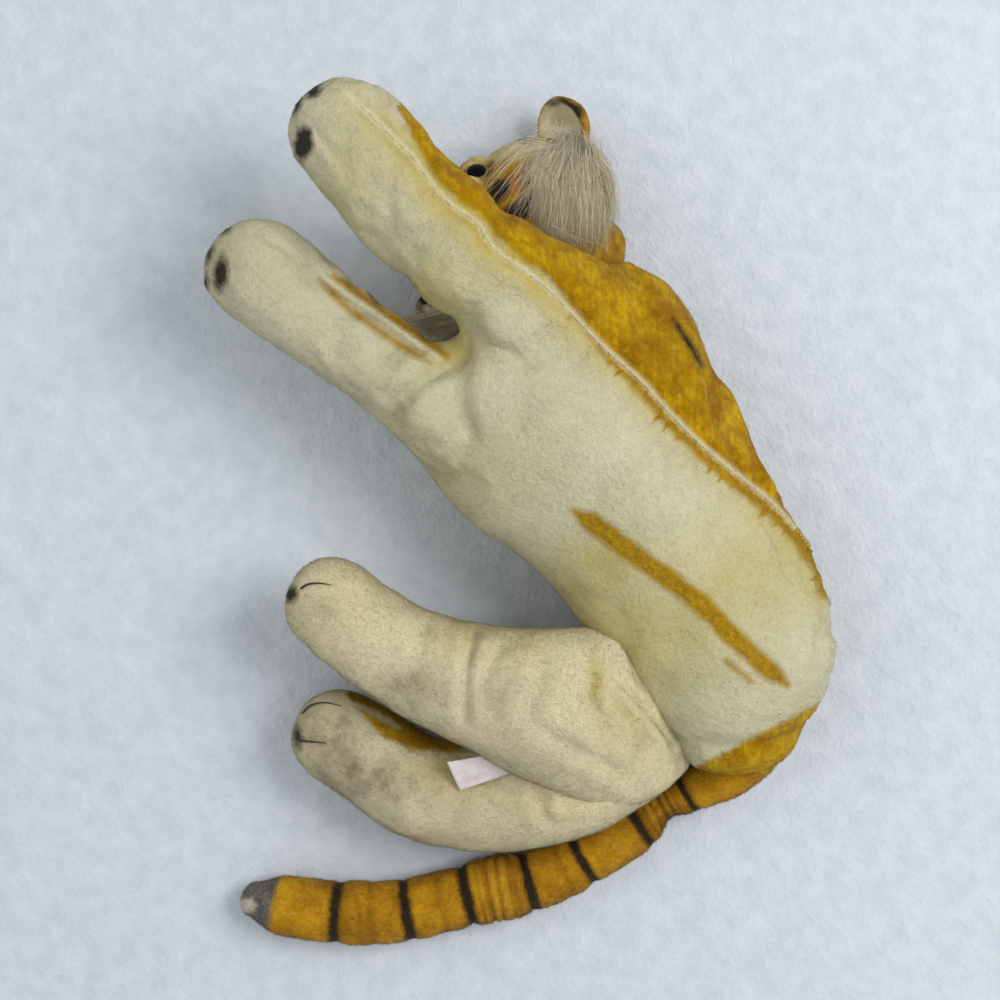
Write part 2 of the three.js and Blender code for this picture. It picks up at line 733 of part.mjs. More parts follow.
function buildWhiskers(side, sign) {
  const from = headPoint(...whiskerRootShares);
  const [rootAhead, rootHigh] = whiskerAside;
  const seat = headSeat(from, new THREE.Vector3(rootAhead, sign, rootHigh));
  const padSize = new THREE.Vector3(whiskerPadRadius, whiskerPadRadius, whiskerPadRadius);
  const pad = ellipsoid(seat.point, padSize, still);
  const tuft = whiskerShares.reduce((all, [ahead, aside, high]) => {
    const out = new THREE.Vector3(ahead, aside * sign, high).normalize();
    const points = whiskerStepShares.map((share) => seat.point.clone()
      .addScaledVector(out, share * whiskerLength)
      .addScaledVector(new THREE.Vector3(-1, 0, 0), share * share * whiskerLength * whiskerCurlShare));
    return all.add(strand([seat.point.clone(), ...points], whiskerRadius, whiskerSides, whiskerSteps));
  }, pad);
  addPiece(`whiskers_${side}`, intoWorld(tuft.subtract(headBlocker)), finishes.thread);
}

const ruffShares = [-0.2, 0.74, -0.42];

function buildRuff(side, sign) {
  const centre = headPoint(ruffShares[0], ruffShares[1] * sign, ruffShares[2]);
  const size = new THREE.Vector3(ruffHalfLength, ruffHalfWidth, ruffHalfHeight);
  const patch = ellipsoid(centre, size, still);
  const layer = headForm(ruffDepth).subtract(headBlocker);
  const ruff = clearedBy(intoWorld(layer.intersect(patch)).subtract(floor), torsoBlocker, jointOf.neck);
  const drop = jointOf.frontLeft.high + turnMargin;
  const leg = turned(limbForm(frontLeft, seatGap), jointOf.frontLeft.pivot, jointOf.frontLeft.axis, drop);
  addPiece(`cheek_ruff_${side}`, clearedBy(ruff, leg, jointOf.neck), finishes.mohair);
}

// Claw stitches: shares of the paw's radius away from its centre, seen from above
const clawShares = {
  hind_left_claw_stitch: [[0.7, 0.18], [0.55, -0.02], [0.39, -0.21]],
  hind_right_claw_stitch_inner: [[0.88, 0.2], [0.78, -0.12], [0.49, -0.44]],
  hind_right_claw_stitch_outer: [[0.5, 0.65], [0.31, 0.48], [0.12, 0.31]],
};

const clawSteps = 6;

function buildClawStitch(name, limb) {
  const rows = rowsOf(limb);
  const paw = rows[rows.length - 1];
  const surface = new THREE.Mesh(geometryOf(limbForm(limb, 0)), bothSides);
  const points = clawShares[name].map(([ahead, aside]) => {
    const above = new THREE.Vector3(paw[0] + ahead * paw[3], paw[1] + aside * paw[3], paw[2] + paw[3] * 2);
    const hit = new THREE.Raycaster(above, upward.clone().negate()).intersectObject(surface)[0];
    return hit.point.addScaledVector(hit.face.normal, clawThreadRadius + seatGap);
  });
  const stitch = strand(points, clawThreadRadius, threadSides, clawSteps).subtract(limbForm(limb, seatGap));
  addPiece(name, stitch, finishes.thread);
}

// The care label, a bare ribbon sewn in where the hind legs meet
const labelTilt = 12;
const labelTurn = 67;
const labelOnLeftShares = [0.185, 0.615, -0.26];
const labelOnRightShares = [0.4875, 0.654, 0.663];

function buildLabel() {
  const ribbon = new THREE.BoxGeometry(labelLength, labelWidth, labelThickness);
  const beside = ({ root, length, radius }, [ahead, aside, high]) => new THREE.Vector3(
    root.x + ahead * length,
    root.y + aside * length,
    root.z + high * radius,
  );
  const root = beside(hindLeft, labelOnLeftShares).lerp(beside(hindRight, labelOnRightShares), 0.5);
  const spin = new THREE.Quaternion().setFromAxisAngle(upward, THREE.MathUtils.degToRad(labelTurn));
  const tilt = new THREE.Quaternion().setFromAxisAngle(across, THREE.MathUtils.degToRad(-labelTilt));
  spin.multiply(tilt);
  const matrix = new THREE.Matrix4().makeRotationFromQuaternion(spin).setPosition(root);
  const label = placed(ribbon, matrix)
    .subtract(limbForm(hindLeft, seatGap))
    .subtract(limbForm(hindRight, seatGap));
  addPiece('care_label', label, finishes.ribbon);
}

buildTorso();
buildTail();
buildFrontLeg('front_left_leg', frontLeft, jointOf.frontLeft, frontLeftSeam);
buildFrontLeg('front_right_leg', frontRight, jointOf.frontRight, frontRightSeam);
buildHindLeg(
  'left',
  hindLeft,
  hindLeftRows,
  jointOf.leftKnee,
  [],
  hindLeftSeam,
  finishes.hindPlush,
);
buildHindLeg(
  'right',
  hindRight,
  hindRightRows,
  jointOf.rightKnee,
  [limbForm(hindLeft, seatGap)],
  hindRightSeam,
  finishes.goldPlush,
);
buildHead();
buildEar('left');
buildEar('right');
buildFace();
buildRuff('left', 1);
buildRuff('right', -1);
buildWhiskers('left', 1);
buildWhiskers('right', -1);
buildClawStitch('hind_left_claw_stitch', hindLeft);
buildClawStitch('hind_right_claw_stitch_inner', hindRight);
buildClawStitch('hind_right_claw_stitch_outer', hindRight);
buildLabel();

const object = new THREE.Group();
pieces.forEach(({ name, solid, finish }) => {
  const [color, roughness, metalness] = finish;
  const material = new THREE.MeshStandardMaterial({ color, roughness, metalness });
  const mesh = new THREE.Mesh(geometryOf(solid), material);
  mesh.name = name;
  object.add(mesh);
});

export default object;
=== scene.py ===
"""The looks of a stuffed plush tiger that lies on its back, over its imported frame."""

import math

import bpy
import numpy as np
from mathutils import Matrix, Vector, noise
from mathutils.bvhtree import BVHTree


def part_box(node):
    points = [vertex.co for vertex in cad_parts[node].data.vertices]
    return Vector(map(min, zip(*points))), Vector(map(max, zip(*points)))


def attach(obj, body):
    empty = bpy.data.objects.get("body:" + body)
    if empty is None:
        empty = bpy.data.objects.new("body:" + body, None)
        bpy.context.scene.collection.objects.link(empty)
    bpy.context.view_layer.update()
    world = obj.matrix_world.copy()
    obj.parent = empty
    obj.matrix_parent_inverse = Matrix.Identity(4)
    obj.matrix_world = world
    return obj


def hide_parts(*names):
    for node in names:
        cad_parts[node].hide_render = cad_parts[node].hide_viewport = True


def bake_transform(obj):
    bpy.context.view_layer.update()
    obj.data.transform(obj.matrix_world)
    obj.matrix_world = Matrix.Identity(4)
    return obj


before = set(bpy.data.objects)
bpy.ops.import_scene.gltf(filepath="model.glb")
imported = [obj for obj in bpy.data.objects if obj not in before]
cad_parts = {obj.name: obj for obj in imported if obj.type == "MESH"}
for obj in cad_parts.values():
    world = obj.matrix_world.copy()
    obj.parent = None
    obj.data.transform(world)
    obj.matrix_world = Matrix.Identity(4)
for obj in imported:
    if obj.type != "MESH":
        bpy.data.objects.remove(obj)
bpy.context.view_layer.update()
bpy.ops.object.select_all(action="DESELECT")

MM = 0.001
RANDOM_SEED = 21
# Marks are signed distances in millimetres: above zero inside a mark, and none counts past FAR
FAR = 20.0
# Nothing lies nearer to the floor than this, in millimetres
FLOOR_GAP = 0.02

# ---- Camera and the way from the photograph's pixels to the model -------------------

# The camera stands straight over the toy: its turn about Z, its height in millimetres, how far
# along the image's columns the model's origin lies, and the millimetres to a pixel that it has
# SHARP_HEIGHT millimetres below it
VIEW_TURN = math.radians(128)
VIEW_HEIGHT = 800.0
VIEW_SHIFT = 66.755
VIEW_SCALE = 0.45
SHARP_HEIGHT = 755.0
IMAGE_MIDDLE = 500


def pixel_size(z):
    """Millimetres to a pixel at height z."""
    return VIEW_SCALE * (VIEW_HEIGHT - z) / SHARP_HEIGHT


def seen(points):
    """The pixels at which points, in millimetres, show."""
    cosine, sine = math.cos(VIEW_TURN), math.sin(VIEW_TURN)
    size = pixel_size(points[:, 2])
    x = VIEW_SHIFT + points[:, 0] * cosine - points[:, 1] * sine
    y = points[:, 0] * sine + points[:, 1] * cosine
    return np.column_stack([IMAGE_MIDDLE + x / size, IMAGE_MIDDLE - y / size])


def from_view(column, row, z):
    """The point at height z that shows at a pixel."""
    cosine, sine = math.cos(VIEW_TURN), math.sin(VIEW_TURN)
    x = (column - IMAGE_MIDDLE) * pixel_size(z) - VIEW_SHIFT
    y = (IMAGE_MIDDLE - row) * pixel_size(z)
    return np.array([x * cosine + y * sine, -x * sine + y * cosine, z])


camera_data = bpy.data.cameras.new("camera")
camera_data.lens = 60.4
camera_data.sensor_width = 36
camera = bpy.data.objects.new("camera", camera_data)
camera.location = (0.0411, 0.0526, 0.800)
camera.rotation_euler = (0, 0, -VIEW_TURN)
bpy.context.scene.collection.objects.link(camera)
bpy.context.scene.camera = camera

# ---- Finishes ----------------------------------------------------------------------


def linear(red, green, blue):
    """A colour written as on screen, 0 to 255, in Blender's linear values."""
    parts = [c / 255 for c in (red, green, blue)]
    return tuple(c / 12.92 if c <= 0.04045 else ((c + 0.055) / 1.055) ** 2.4 for c in parts) + (1.0,)


class Value:
    """A number that varies over a surface, so that shader maths reads as plain maths."""

    def __init__(self, finish, socket):
        self.finish = finish
        self.socket = socket

    def _maths(self, operation, first, second=0.0, clamp=False):
        settings = {"operation": operation, "use_clamp": clamp}
        return self.finish.node("ShaderNodeMath", settings, {0: first, 1: second})

    def __add__(self, other):
        return self._maths("ADD", self, other)

    __radd__ = __add__

    def __sub__(self, other):
        return self._maths("SUBTRACT", self, other)

    def __rsub__(self, other):
        return self._maths("SUBTRACT", other, self)

    def __mul__(self, other):
        return self._maths("MULTIPLY", self, other)

    __rmul__ = __mul__

    def __truediv__(self, other):
        return self._maths("DIVIDE", self, other)

    def clamped(self):
        return self._maths("ADD", self, 0.0, clamp=True)

    def most(self, other):
        return self._maths("MAXIMUM", self, other)

    def over(self, low, high):
        """0 below low, 1 above high and straight between."""
        return ((self - low) / (high - low)).clamped()


class Finish:
    """A procedural material, built node by node."""

    def __init__(self, name, roughness, sheen=0.0, metallic=0.0, tint=(1, 1, 1, 1), gloss=0.5):
        self.material = bpy.data.materials.new(name)
        self.material.use_nodes = True
        self.tree = self.material.node_tree
        self.tree.nodes.clear()
        self.output = self.tree.nodes.new("ShaderNodeOutputMaterial")
        self.shader = self.tree.nodes.new("ShaderNodeBsdfPrincipled")
        self.tree.links.new(self.shader.outputs[0], self.output.inputs[0])
        self.shader.inputs["Roughness"].default_value = roughness
        self.shader.inputs["Sheen Weight"].default_value = sheen
        self.shader.inputs["Sheen Roughness"].default_value = 0.4
        self.shader.inputs["Sheen Tint"].default_value = tint
        self.shader.inputs["Specular IOR Level"].default_value = gloss
        self.shader.inputs["Metallic"].default_value = metallic
        self.place = self.node("ShaderNodeTexCoord", output="Object")

    def node(self, kind, settings=None, inputs=None, output=0):
        made = self.tree.nodes.new(kind)
        for key, value in (settings or {}).items():
            setattr(made, key, value)
        for key, value in (inputs or {}).items():
            if isinstance(value, Value):
                self.tree.links.new(value.socket, made.inputs[key])
            else:
                made.inputs[key].default_value = value
        return Value(self, made.outputs[output])

    def noise(self, scale, detail=2.0, roughness=0.55, place=None):
        inputs = {"Vector": place or self.place, "Scale": scale, "Detail": detail, "Roughness": roughness}
        return self.node("ShaderNodeTexNoise", None, inputs)

    def attribute(self, name):
        return self.node("ShaderNodeAttribute", {"attribute_name": name}, None, "Fac")

    def stretched(self, turn, scale):
        turned = self.node("ShaderNodeMapping", None, {"Vector": self.place, "Rotation": turn})
        return self.node("ShaderNodeMapping", None, {"Vector": turned, "Scale": scale})

    def mix(self, factor, low, high):
        """low where the factor is 0 and high where it is 1."""
        return self.node("ShaderNodeMix", {"data_type": "RGBA"}, {0: factor, 6: low, 7: high}, 2)

    def shaded(self, colour, factor):
        """The colour times a number that varies."""
        grey = self.node("ShaderNodeCombineColor", None, {0: factor, 1: factor, 2: factor})
        settings = {"data_type": "RGBA", "blend_type": "MULTIPLY"}
        return self.node("ShaderNodeMix", settings, {0: 1.0, 6: colour, 7: grey}, 2)

    def feed(self, name, value):
        self.tree.links.new(value.socket, self.shader.inputs[name])

    def bump(self, height, distance, strength=1.0):
        inputs = {"Height": height, "Distance": distance, "Strength": strength}
        self.feed("Normal", self.node("ShaderNodeBump", None, inputs))

    def mark(self, name, softness, ragged):
        """How much of a mark shows, its edge made ragged and soft, in millimetres."""
        return ((self.attribute(name) + ragged) / softness + 0.5).clamped()


def plush(name, base, light, deep, pile=1.0):
    """Short plush: its own colour in two tones and a darker tone of painted shade, with the airbrushed marks
    sprayed over it.
    """
    finish = Finish(name, 0.82, sheen=0.05, tint=(1.0, 0.95, 0.8, 1), gloss=0.08)
    broad = finish.noise(22, 3)
    patch = finish.noise(95, 4)
    tuft = finish.noise(380, 4, 0.65)
    grain = finish.noise(1700, 3, 0.7)
    ragged = (patch - 0.5) * 5 + (tuft - 0.5) * 5
    colour = finish.mix((broad * 1.3 + patch * 0.5 - 0.4).clamped(), linear(*base), linear(*light))
    # Painted shade: the deep attribute darkens the plush towards its deep tone on sides that turn from the
    # top and in creases
    colour = finish.mix((finish.attribute("deep") + (patch - 0.5) * 0.6).clamped(), colour, linear(*deep))
    warm = (finish.attribute("warm") * (0.4 + patch * 1.2)).clamped()
    colour = finish.mix(warm * 0.85, colour, linear(196, 172, 66))
    soil = (finish.attribute("soil") * (patch * 1.6 + tuft * 0.6 - 0.4)).clamped()
    colour = finish.mix(soil, colour, linear(120, 104, 78))
    gold = finish.mark("gold", 2.6, ragged * 0.8)
    blotch = finish.noise(48, 5, 0.62)
    rich = finish.mix(blotch.over(0.36, 0.62), linear(156, 110, 0), linear(214, 170, 10))
    rich = finish.mix((patch * 1.4 + tuft * 0.5 - 0.85).clamped() * 0.7, rich, linear(224, 184, 44))
    rich = finish.mix(finish.noise(210, 4, 0.7).over(0.44, 0.64) * 0.45, rich, linear(140, 92, 0))
    ribs = finish.noise(1, 1, place=finish.stretched((0, 0, math.radians(-52)), (620, 50, 50)))
    rich = finish.mix(ribs.over(0.42, 0.62) * 0.3, rich, linear(150, 102, 0))
    # Painted shade on the gold, from the same deep attribute
    rich = finish.mix(finish.attribute("deep").clamped() * 0.8, rich, linear(128, 82, 0))
    colour = finish.mix(gold, colour, rich)
    brown = finish.mark("brown", 3.0, ragged * 0.6)
    fleck = finish.mix(tuft.over(0.3, 0.7), linear(146, 106, 0), linear(188, 146, 4))
    colour = finish.mix(brown * 0.97, colour, fleck)
    # Pale seam lines: along the body's side seam the pale ground of the parted pile, with a painted highlight
    # along the raised ridge
    pale = finish.mark("pale", 2.2, ragged * 0.3)
    colour = finish.mix(pale * 0.7, colour, linear(238, 230, 196))
    black = finish.mark("black", 2.6, ragged * 0.5)
    colour = finish.mix(black * 0.95, colour, linear(22, 19, 16))
    finish.feed("Base Color", finish.shaded(colour, 0.72 + grain * 0.3 + tuft * 0.26))
    finish.bump(grain * 0.7 * pile + tuft * 1.1 + patch * 0.7, 0.0014, 0.85)
    return finish.material


# The third colour of each plush is the darker tone of its painted shade
cream_plush = plush("cream_plush_finish", (194, 187, 150), (228, 222, 190), (172, 157, 106))
hind_plush = plush("hind_plush_finish", (238, 222, 178), (250, 238, 200), (184, 164, 118), 1.5)


def tail_finish():
    finish = Finish("tail_plush_finish", 0.8, sheen=0.08, tint=(1.0, 0.75, 0.35, 1), gloss=0.2)
    broad = finish.noise(60, 3)
    patch = finish.noise(160, 4)
    tuft = finish.noise(520, 3)
    grain = finish.noise(1900, 2)
    ragged = (patch - 0.5) * 2.2 + (tuft - 0.5) * 2.6
    colour = finish.mix(broad.over(0.35, 0.68), linear(152, 102, 0), linear(200, 146, 10))
    # Painted highlight: lighter between the tail's creases and round its gathers and pleats, with the tufts'
    # random streaks
    highlight_streak = finish.attribute("painted_highlight") + (tuft - 0.5) * 0.9
    colour = finish.mix(highlight_streak.clamped() * 0.7, colour, linear(212, 166, 66))
    # Painted shade: darker in the tail's creases and on its underside
    colour = finish.mix(finish.attribute("deep").clamped() * 0.8, colour, linear(96, 56, 8))
    ring = finish.mark("black", 2.0, ragged)
    colour = finish.mix(ring * 0.95, colour, linear(24, 20, 17))
    tip = finish.mark("tip", 3.0, ragged)
    speckle = (finish.noise(900, 2) * 1.2 + patch * 0.6 - 0.55).clamped()
    colour = finish.mix(tip, colour, finish.mix(speckle, linear(66, 62, 58), linear(150, 144, 134)))
    worn = finish.mark("worn", 2.0, ragged)
    colour = finish.mix(worn * 0.8, colour, linear(206, 198, 184))
    finish.feed("Base Color", finish.shaded(colour, 0.7 + grain * 0.34 + tuft * 0.26))
    finish.bump(grain * 0.7 + tuft + patch * 0.6, 0.0011, 0.75)
    return finish.material


tail_plush = tail_finish()


def head_finish():
    finish = Finish("head_plush_finish", 0.82, sheen=0.08, tint=(1.0, 0.85, 0.6, 1), gloss=0.2)
    broad = finish.noise(40, 3)
    patch = finish.noise(150, 4)
    tuft = finish.noise(480, 3)
    grain = finish.noise(1900, 2)
    ragged = (patch - 0.5) * 3 + (tuft - 0.5) * 3
    gold = finish.mix(patch.over(0.36, 0.64), linear(134, 92, 2), linear(180, 138, 16))
    cream = finish.mix(broad.over(0.35, 0.65), linear(190, 166, 96), linear(214, 198, 140))
    colour = finish.mix(finish.mark("cream", 5.0, ragged), gold, cream)
    colour = finish.mix(finish.mark("orange", 3.0, ragged) * 0.75, colour, linear(150, 80, 8))
    colour = finish.mix(finish.mark("lining", 8.0, ragged), colour, linear(246, 234, 194))
    colour = finish.mix(finish.mark("black", 2.6, ragged * 0.8) * 0.96, colour, linear(24, 20, 18))
    finish.feed("Base Color", finish.shaded(colour, 0.86 + grain * 0.16 + tuft * 0.12))
    finish.bump(grain * 0.6 + tuft + patch * 0.5, 0.001, 0.75)
    return finish.material


head_plush = head_finish()


def mohair_finish():
    finish = Finish("mohair_finish", 0.4, sheen=0.15)
    strand = finish.attribute("strand")
    lock = finish.noise(160, 2)
    colour = finish.mix((strand * 0.7 + lock * 0.5).clamped(), linear(178, 160, 120), linear(248, 238, 208))
    finish.feed("Base Color", colour)
    finish.bump(finish.noise(2500, 1), 0.0002, 0.3)
    return finish.material


mohair = mohair_finish()


def thread_finish(name, dark, light):
    finish = Finish(name, 0.6, sheen=0.1)
    ply = finish.noise(2200, 2)
    finish.feed("Base Color", finish.mix(ply.over(0.35, 0.65), linear(*dark), linear(*light)))
    finish.bump(ply, 0.0003, 0.6)
    return finish.material


black_thread = thread_finish("black_thread_finish", (18, 15, 14), (48, 42, 38))
pale_thread = thread_finish("pale_thread_finish", (206, 190, 146), (240, 230, 200))
dark_hair = thread_finish("dark_hair_finish", (70, 62, 54), (120, 108, 92))


def glass_finish():
    finish = Finish("eye_glass_finish", 0.16, gloss=0.09)
    rim = finish.attribute("rim")
    cloud = finish.noise(700, 2)
    iris = finish.mix(cloud.over(0.3, 0.7), linear(190, 178, 110), linear(214, 206, 150))
    colour = finish.mix(rim.clamped(), linear(8, 8, 7), iris)
    finish.feed("Base Color", colour)
    finish.feed("Roughness", 0.05 + cloud * 0.05)
    return finish.material


eye_glass = glass_finish()


def steel_finish():
    finish = Finish("washer_steel_finish", 0.38, metallic=1.0)
    brushed = finish.noise(1, 3, place=finish.stretched((0.4, 0.2, 0), (300, 4000, 300)))
    finish.feed("Base Color", finish.mix(brushed, linear(140, 140, 138), linear(178, 178, 176)))
    finish.feed("Roughness", 0.3 + brushed * 0.2)
    return finish.material


washer_steel = steel_finish()


def felt_finish():
    finish = Finish("nose_felt_finish", 0.7, sheen=0.2)
    fibre = finish.noise(1500, 3)
    finish.feed("Base Color", finish.mix(fibre.over(0.3, 0.7), linear(20, 16, 15), linear(52, 44, 40)))
    finish.bump(fibre, 0.0005, 0.7)
    return finish.material


nose_felt = felt_finish()


def ribbon_finish():
    finish = Finish("ribbon_finish", 0.55, sheen=0.15)
    along, over = (
        finish.node("ShaderNodeTexWave", {"bands_direction": way}, {"Vector": finish.place, "Scale": 900.0})
        for way in ("X", "Y")
    )
    weave = along.most(over)
    wear = finish.noise(220, 3)
    colour = finish.mix(wear.over(0.4, 0.7), linear(236, 224, 222), linear(222, 200, 200))
    finish.feed("Base Color", finish.shaded(colour, 0.93 + weave * 0.07))
    finish.bump(weave, 0.00015, 0.6)
    return finish.material


ribbon = ribbon_finish()


def floor_finish():
    finish = Finish("pale_floor_finish", 0.9, sheen=0.1)
    fleece = finish.noise(90, 4, 0.6)
    broad = finish.noise(9, 2)
    colour = finish.mix(fleece.over(0.35, 0.65), linear(199, 206, 213), linear(210, 216, 222))
    finish.feed("Base Color", finish.shaded(colour, 0.96 + broad * 0.07))
    finish.bump(fleece + finish.noise(420, 3) * 0.4, 0.003, 0.45)
    return finish.material


# ---- Shapes ------------------------------------------------------------------------


def curve(points, places):
    """Points along a smooth centripetal curve, at places from 0 to 1."""
    points = np.asarray(points, float)
    last = len(points) - 1
    full = np.vstack([2 * points[0] - points[1], points, 2 * points[-1] - points[-2]])
    spans = np.maximum(np.sqrt(np.linalg.norm(np.diff(full, axis=0), axis=1)), 1e-4)
    position = np.clip(np.asarray(places, float), 0, 1) * last
    i = np.minimum(position.astype(int), last - 1)
    t = (position - i)[:, None]
    a, b, c, d = full[i], full[i + 1], full[i + 2], full[i + 3]
    ab, bc, cd = spans[i][:, None], spans[i + 1][:, None], spans[i + 2][:, None]
    leave = ((b - a) / ab - (c - a) / (ab + bc) + (c - b) / bc) * bc
    arrive = ((c - b) / bc - (d - b) / (bc + cd) + (d - c) / cd) * bc
    square = (3 * (c - b) - 2 * leave - arrive) * t**2
    cube = (2 * (b - c) + leave + arrive) * t**3
    return b + leave * t + square + cube


def unit(vectors):
    return vectors / np.maximum(np.linalg.norm(vectors, axis=-1, keepdims=True), 1e-9)


class Skin:
    """A mesh in arrays, in millimetres, with marks that its finish reads."""

    def __init__(self, points, faces, marks=None):
        self.points = np.asarray(points, float)
        self.faces = np.asarray(faces, int)
        self.marks = marks or {}
        self.whole_normals = None

    def edges(self):
        pairs = np.vstack([self.faces[:, [i, (i + 1) % 4]] for i in range(4)])
        pairs = np.unique(np.sort(pairs, axis=1), axis=0)
        return pairs[pairs[:, 0] != pairs[:, 1]]

    def normals(self):
        a, b, c, d = (self.points[self.faces[:, i]] for i in range(4))
        across = np.cross(c - a, d - b)
        total = np.zeros_like(self.points)
        for i in range(4):
            np.add.at(total, self.faces[:, i], across)
        return unit(total)

    def relaxed(self, weights, rounds, strength=0.5):
        """Each point moves towards the middle of its neighbours, as far as its weight lets it."""
        edges = self.edges()
        count = np.bincount(edges.ravel(), minlength=len(self.points))[:, None]
        for _ in range(rounds):
            total = np.zeros_like(self.points)
            np.add.at(total, edges[:, 0], self.points[edges[:, 1]])
            np.add.at(total, edges[:, 1], self.points[edges[:, 0]])
            self.points += (total / np.maximum(count, 1) - self.points) * weights[:, None] * strength
        return self

    def part(self, chosen):
        """The chosen faces as a skin of their own."""
        used, index = np.unique(self.faces[chosen], return_inverse=True)
        marks = {name: values[used] for name, values in self.marks.items()}
        cut = Skin(self.points[used], index.reshape(-1, 4), marks)
        cut.whole_normals = self.normals()[used]
        return cut

    def centres(self):
        return self.points[self.faces].mean(axis=1)

    def tree(self):
        return BVHTree.FromPolygons(self.points.tolist(), self.faces.tolist())


def loft(rows, sides, steps, caps=(1.0, 1.0), cap_rings=8):
    """A swelling form along a centre line, of quads, closed at both ends by small rings."""
    rows = np.asarray(rows, float)
    places = np.linspace(0, 1, steps + 1)
    centres = curve(rows[:, :3], places)
    sizes = curve(np.column_stack([rows[:, 3:5], np.arange(len(rows))]), places)[:, :2]
    ahead = unit(np.gradient(centres, axis=0))
    rings = []
    for turn in np.linspace(0.49, 0.02, cap_rings) * math.pi:
        rings.append((0, -math.sin(turn), math.cos(turn), caps[0]))
    rings += [(i, 0, 1, 0) for i in range(steps + 1)]
    for turn in np.linspace(0.02, 0.49, cap_rings) * math.pi:
        rings.append((steps, math.sin(turn), math.cos(turn), caps[1]))
    angles = (np.arange(sides) + 0.5) / sides * 2 * math.pi
    points = []
    along = []
    for i, slide, share, cap in rings:
        side = unit(np.cross((0, 0, 1), ahead[i]))
        over = np.cross(ahead[i], side)
        centre = centres[i] + ahead[i] * min(sizes[i]) * cap * slide
        ring = centre + np.outer(np.cos(angles), side) * sizes[i][0] * share
        points.append(ring + np.outer(np.sin(angles), over) * sizes[i][1] * share)
        along += [places[i] + slide * cap * 0.1] * sides
    points = np.vstack(points)
    index = np.arange(len(rings) * sides).reshape(len(rings), sides)
    after = np.roll(index, -1, axis=1)
    faces = np.stack([index[:-1], after[:-1], after[1:], index[1:]], axis=-1).reshape(-1, 4)
    ends = []
    for ring, turn in ((index[0], -1), (index[-1], 1)):
        half = sides // 2
        strip = [[ring[i], ring[i + 1], ring[sides - 2 - i], ring[sides - 1 - i]] for i in range(half - 1)]
        ends += [face[::turn] for face in strip]
    skin = Skin(points, np.vstack([faces, np.array(ends)]))
    skin.marks["along"] = np.array(along)
    return skin


def ball(centre, sizes, sides=32):
    """A round form of quads, from its centre and its half sizes."""
    x, y, z = centre
    wide, deep, high = sizes
    ends = [(x, y + step, z, wide * 0.8, high * 0.8) for step in (-deep * 0.6, deep * 0.6)]
    rows = [ends[0], (x, y, z, wide, high), ends[1]]
    return loft(rows, sides, 16, (deep * 0.4 / (min(wide, high) * 0.8),) * 2)


def as_form(skin):
    """A plain object of a skin, to work on."""
    mesh = bpy.data.meshes.new("form")
    mesh.from_pydata((skin.points * MM).tolist(), [], skin.faces.tolist())
    form = bpy.data.objects.new("form", mesh)
    bpy.context.scene.collection.objects.link(form)
    bpy.context.view_layer.objects.active = form
    return form


def taken_from(form):
    """The skin of a form of quads, which goes away."""
    mesh = form.data
    points = np.empty(len(mesh.vertices) * 3)
    mesh.vertices.foreach_get("co", points)
    faces = np.empty(len(mesh.polygons) * 4, int)
    mesh.loops.foreach_get("vertex_index", faces)
    bpy.data.objects.remove(form)
    bpy.data.meshes.remove(mesh)
    return Skin(points.reshape(-1, 3) / MM, faces.reshape(-1, 4))


def remeshed(skins, voxel):
    """One continuous skin round several forms."""
    offsets = np.cumsum([0] + [len(s.points) for s in skins[:-1]])
    faces = np.vstack([s.faces + offset for s, offset in zip(skins, offsets)])
    form = as_form(Skin(np.vstack([s.points for s in skins]), faces))
    modifier = form.modifiers.new("skin", "REMESH")
    modifier.mode = "VOXEL"
    modifier.voxel_size = voxel * MM
    bpy.ops.object.modifier_apply(modifier=modifier.name)
    return taken_from(form)


def finer(skin, levels):
    """The same skin with each quad divided, smooth."""
    form = as_form(skin)
    modifier = form.modifiers.new("finer", "SUBSURF")
    modifier.levels = modifier.render_levels = levels
    bpy.ops.object.modifier_apply(modifier=modifier.name)
    return taken_from(form)


def evened(skin, values, rounds):
    """Values at the points of a skin, each drawn to the middle of its neighbours."""
    edges = skin.edges()
    count = np.bincount(edges.ravel(), minlength=len(values))
    for _ in range(rounds):
        total = np.bincount(edges[:, 0], values[edges[:, 1]], len(values))
        total += np.bincount(edges[:, 1], values[edges[:, 0]], len(values))
        values = (values + total / np.maximum(count, 1)) / 2
    return values


def settled(skin, sewn, growth=0.05, cap=2.4, gain=1.7):
    """The plush is simulated as cloth over its filling: it creases and puckers where it is sewn.

    Only the creases are kept, up to a cap, so that the piece stays as large as its solid."""
    normals = skin.normals()
    form = as_form(skin)
    group = form.vertex_groups.new(name="sewn")
    for i in np.flatnonzero(sewn > 0.02):
        group.add([int(i)], float(sewn[i]), "REPLACE")
    modifier = form.modifiers.new("plush", "CLOTH")
    cloth = modifier.settings
    cloth.quality = 5
    cloth.mass = 0.15
    cloth.tension_stiffness = 18
    cloth.compression_stiffness = 18
    cloth.shear_stiffness = 6
    cloth.bending_stiffness = 0.1
    cloth.use_pressure = True
    cloth.uniform_pressure_force = 4
    cloth.shrink_min = -growth
    cloth.effector_weights.gravity = 0
    cloth.vertex_group_mass = group.name
    modifier.collision_settings.use_collision = False
    for number in range(1, 21):
        bpy.context.scene.frame_set(number)
    mesh = form.evaluated_get(bpy.context.evaluated_depsgraph_get()).data
    moved = np.empty(len(mesh.vertices) * 3)
    mesh.vertices.foreach_get("co", moved)
    along = np.sum((moved.reshape(-1, 3) / MM - skin.points) * normals, axis=1)
    creases = (along - evened(skin, along, 45)) * gain
    skin.points += normals * (np.tanh(creases / cap) * cap)[:, None]
    taken_from(form)
    bpy.context.scene.frame_set(1)
    return skin


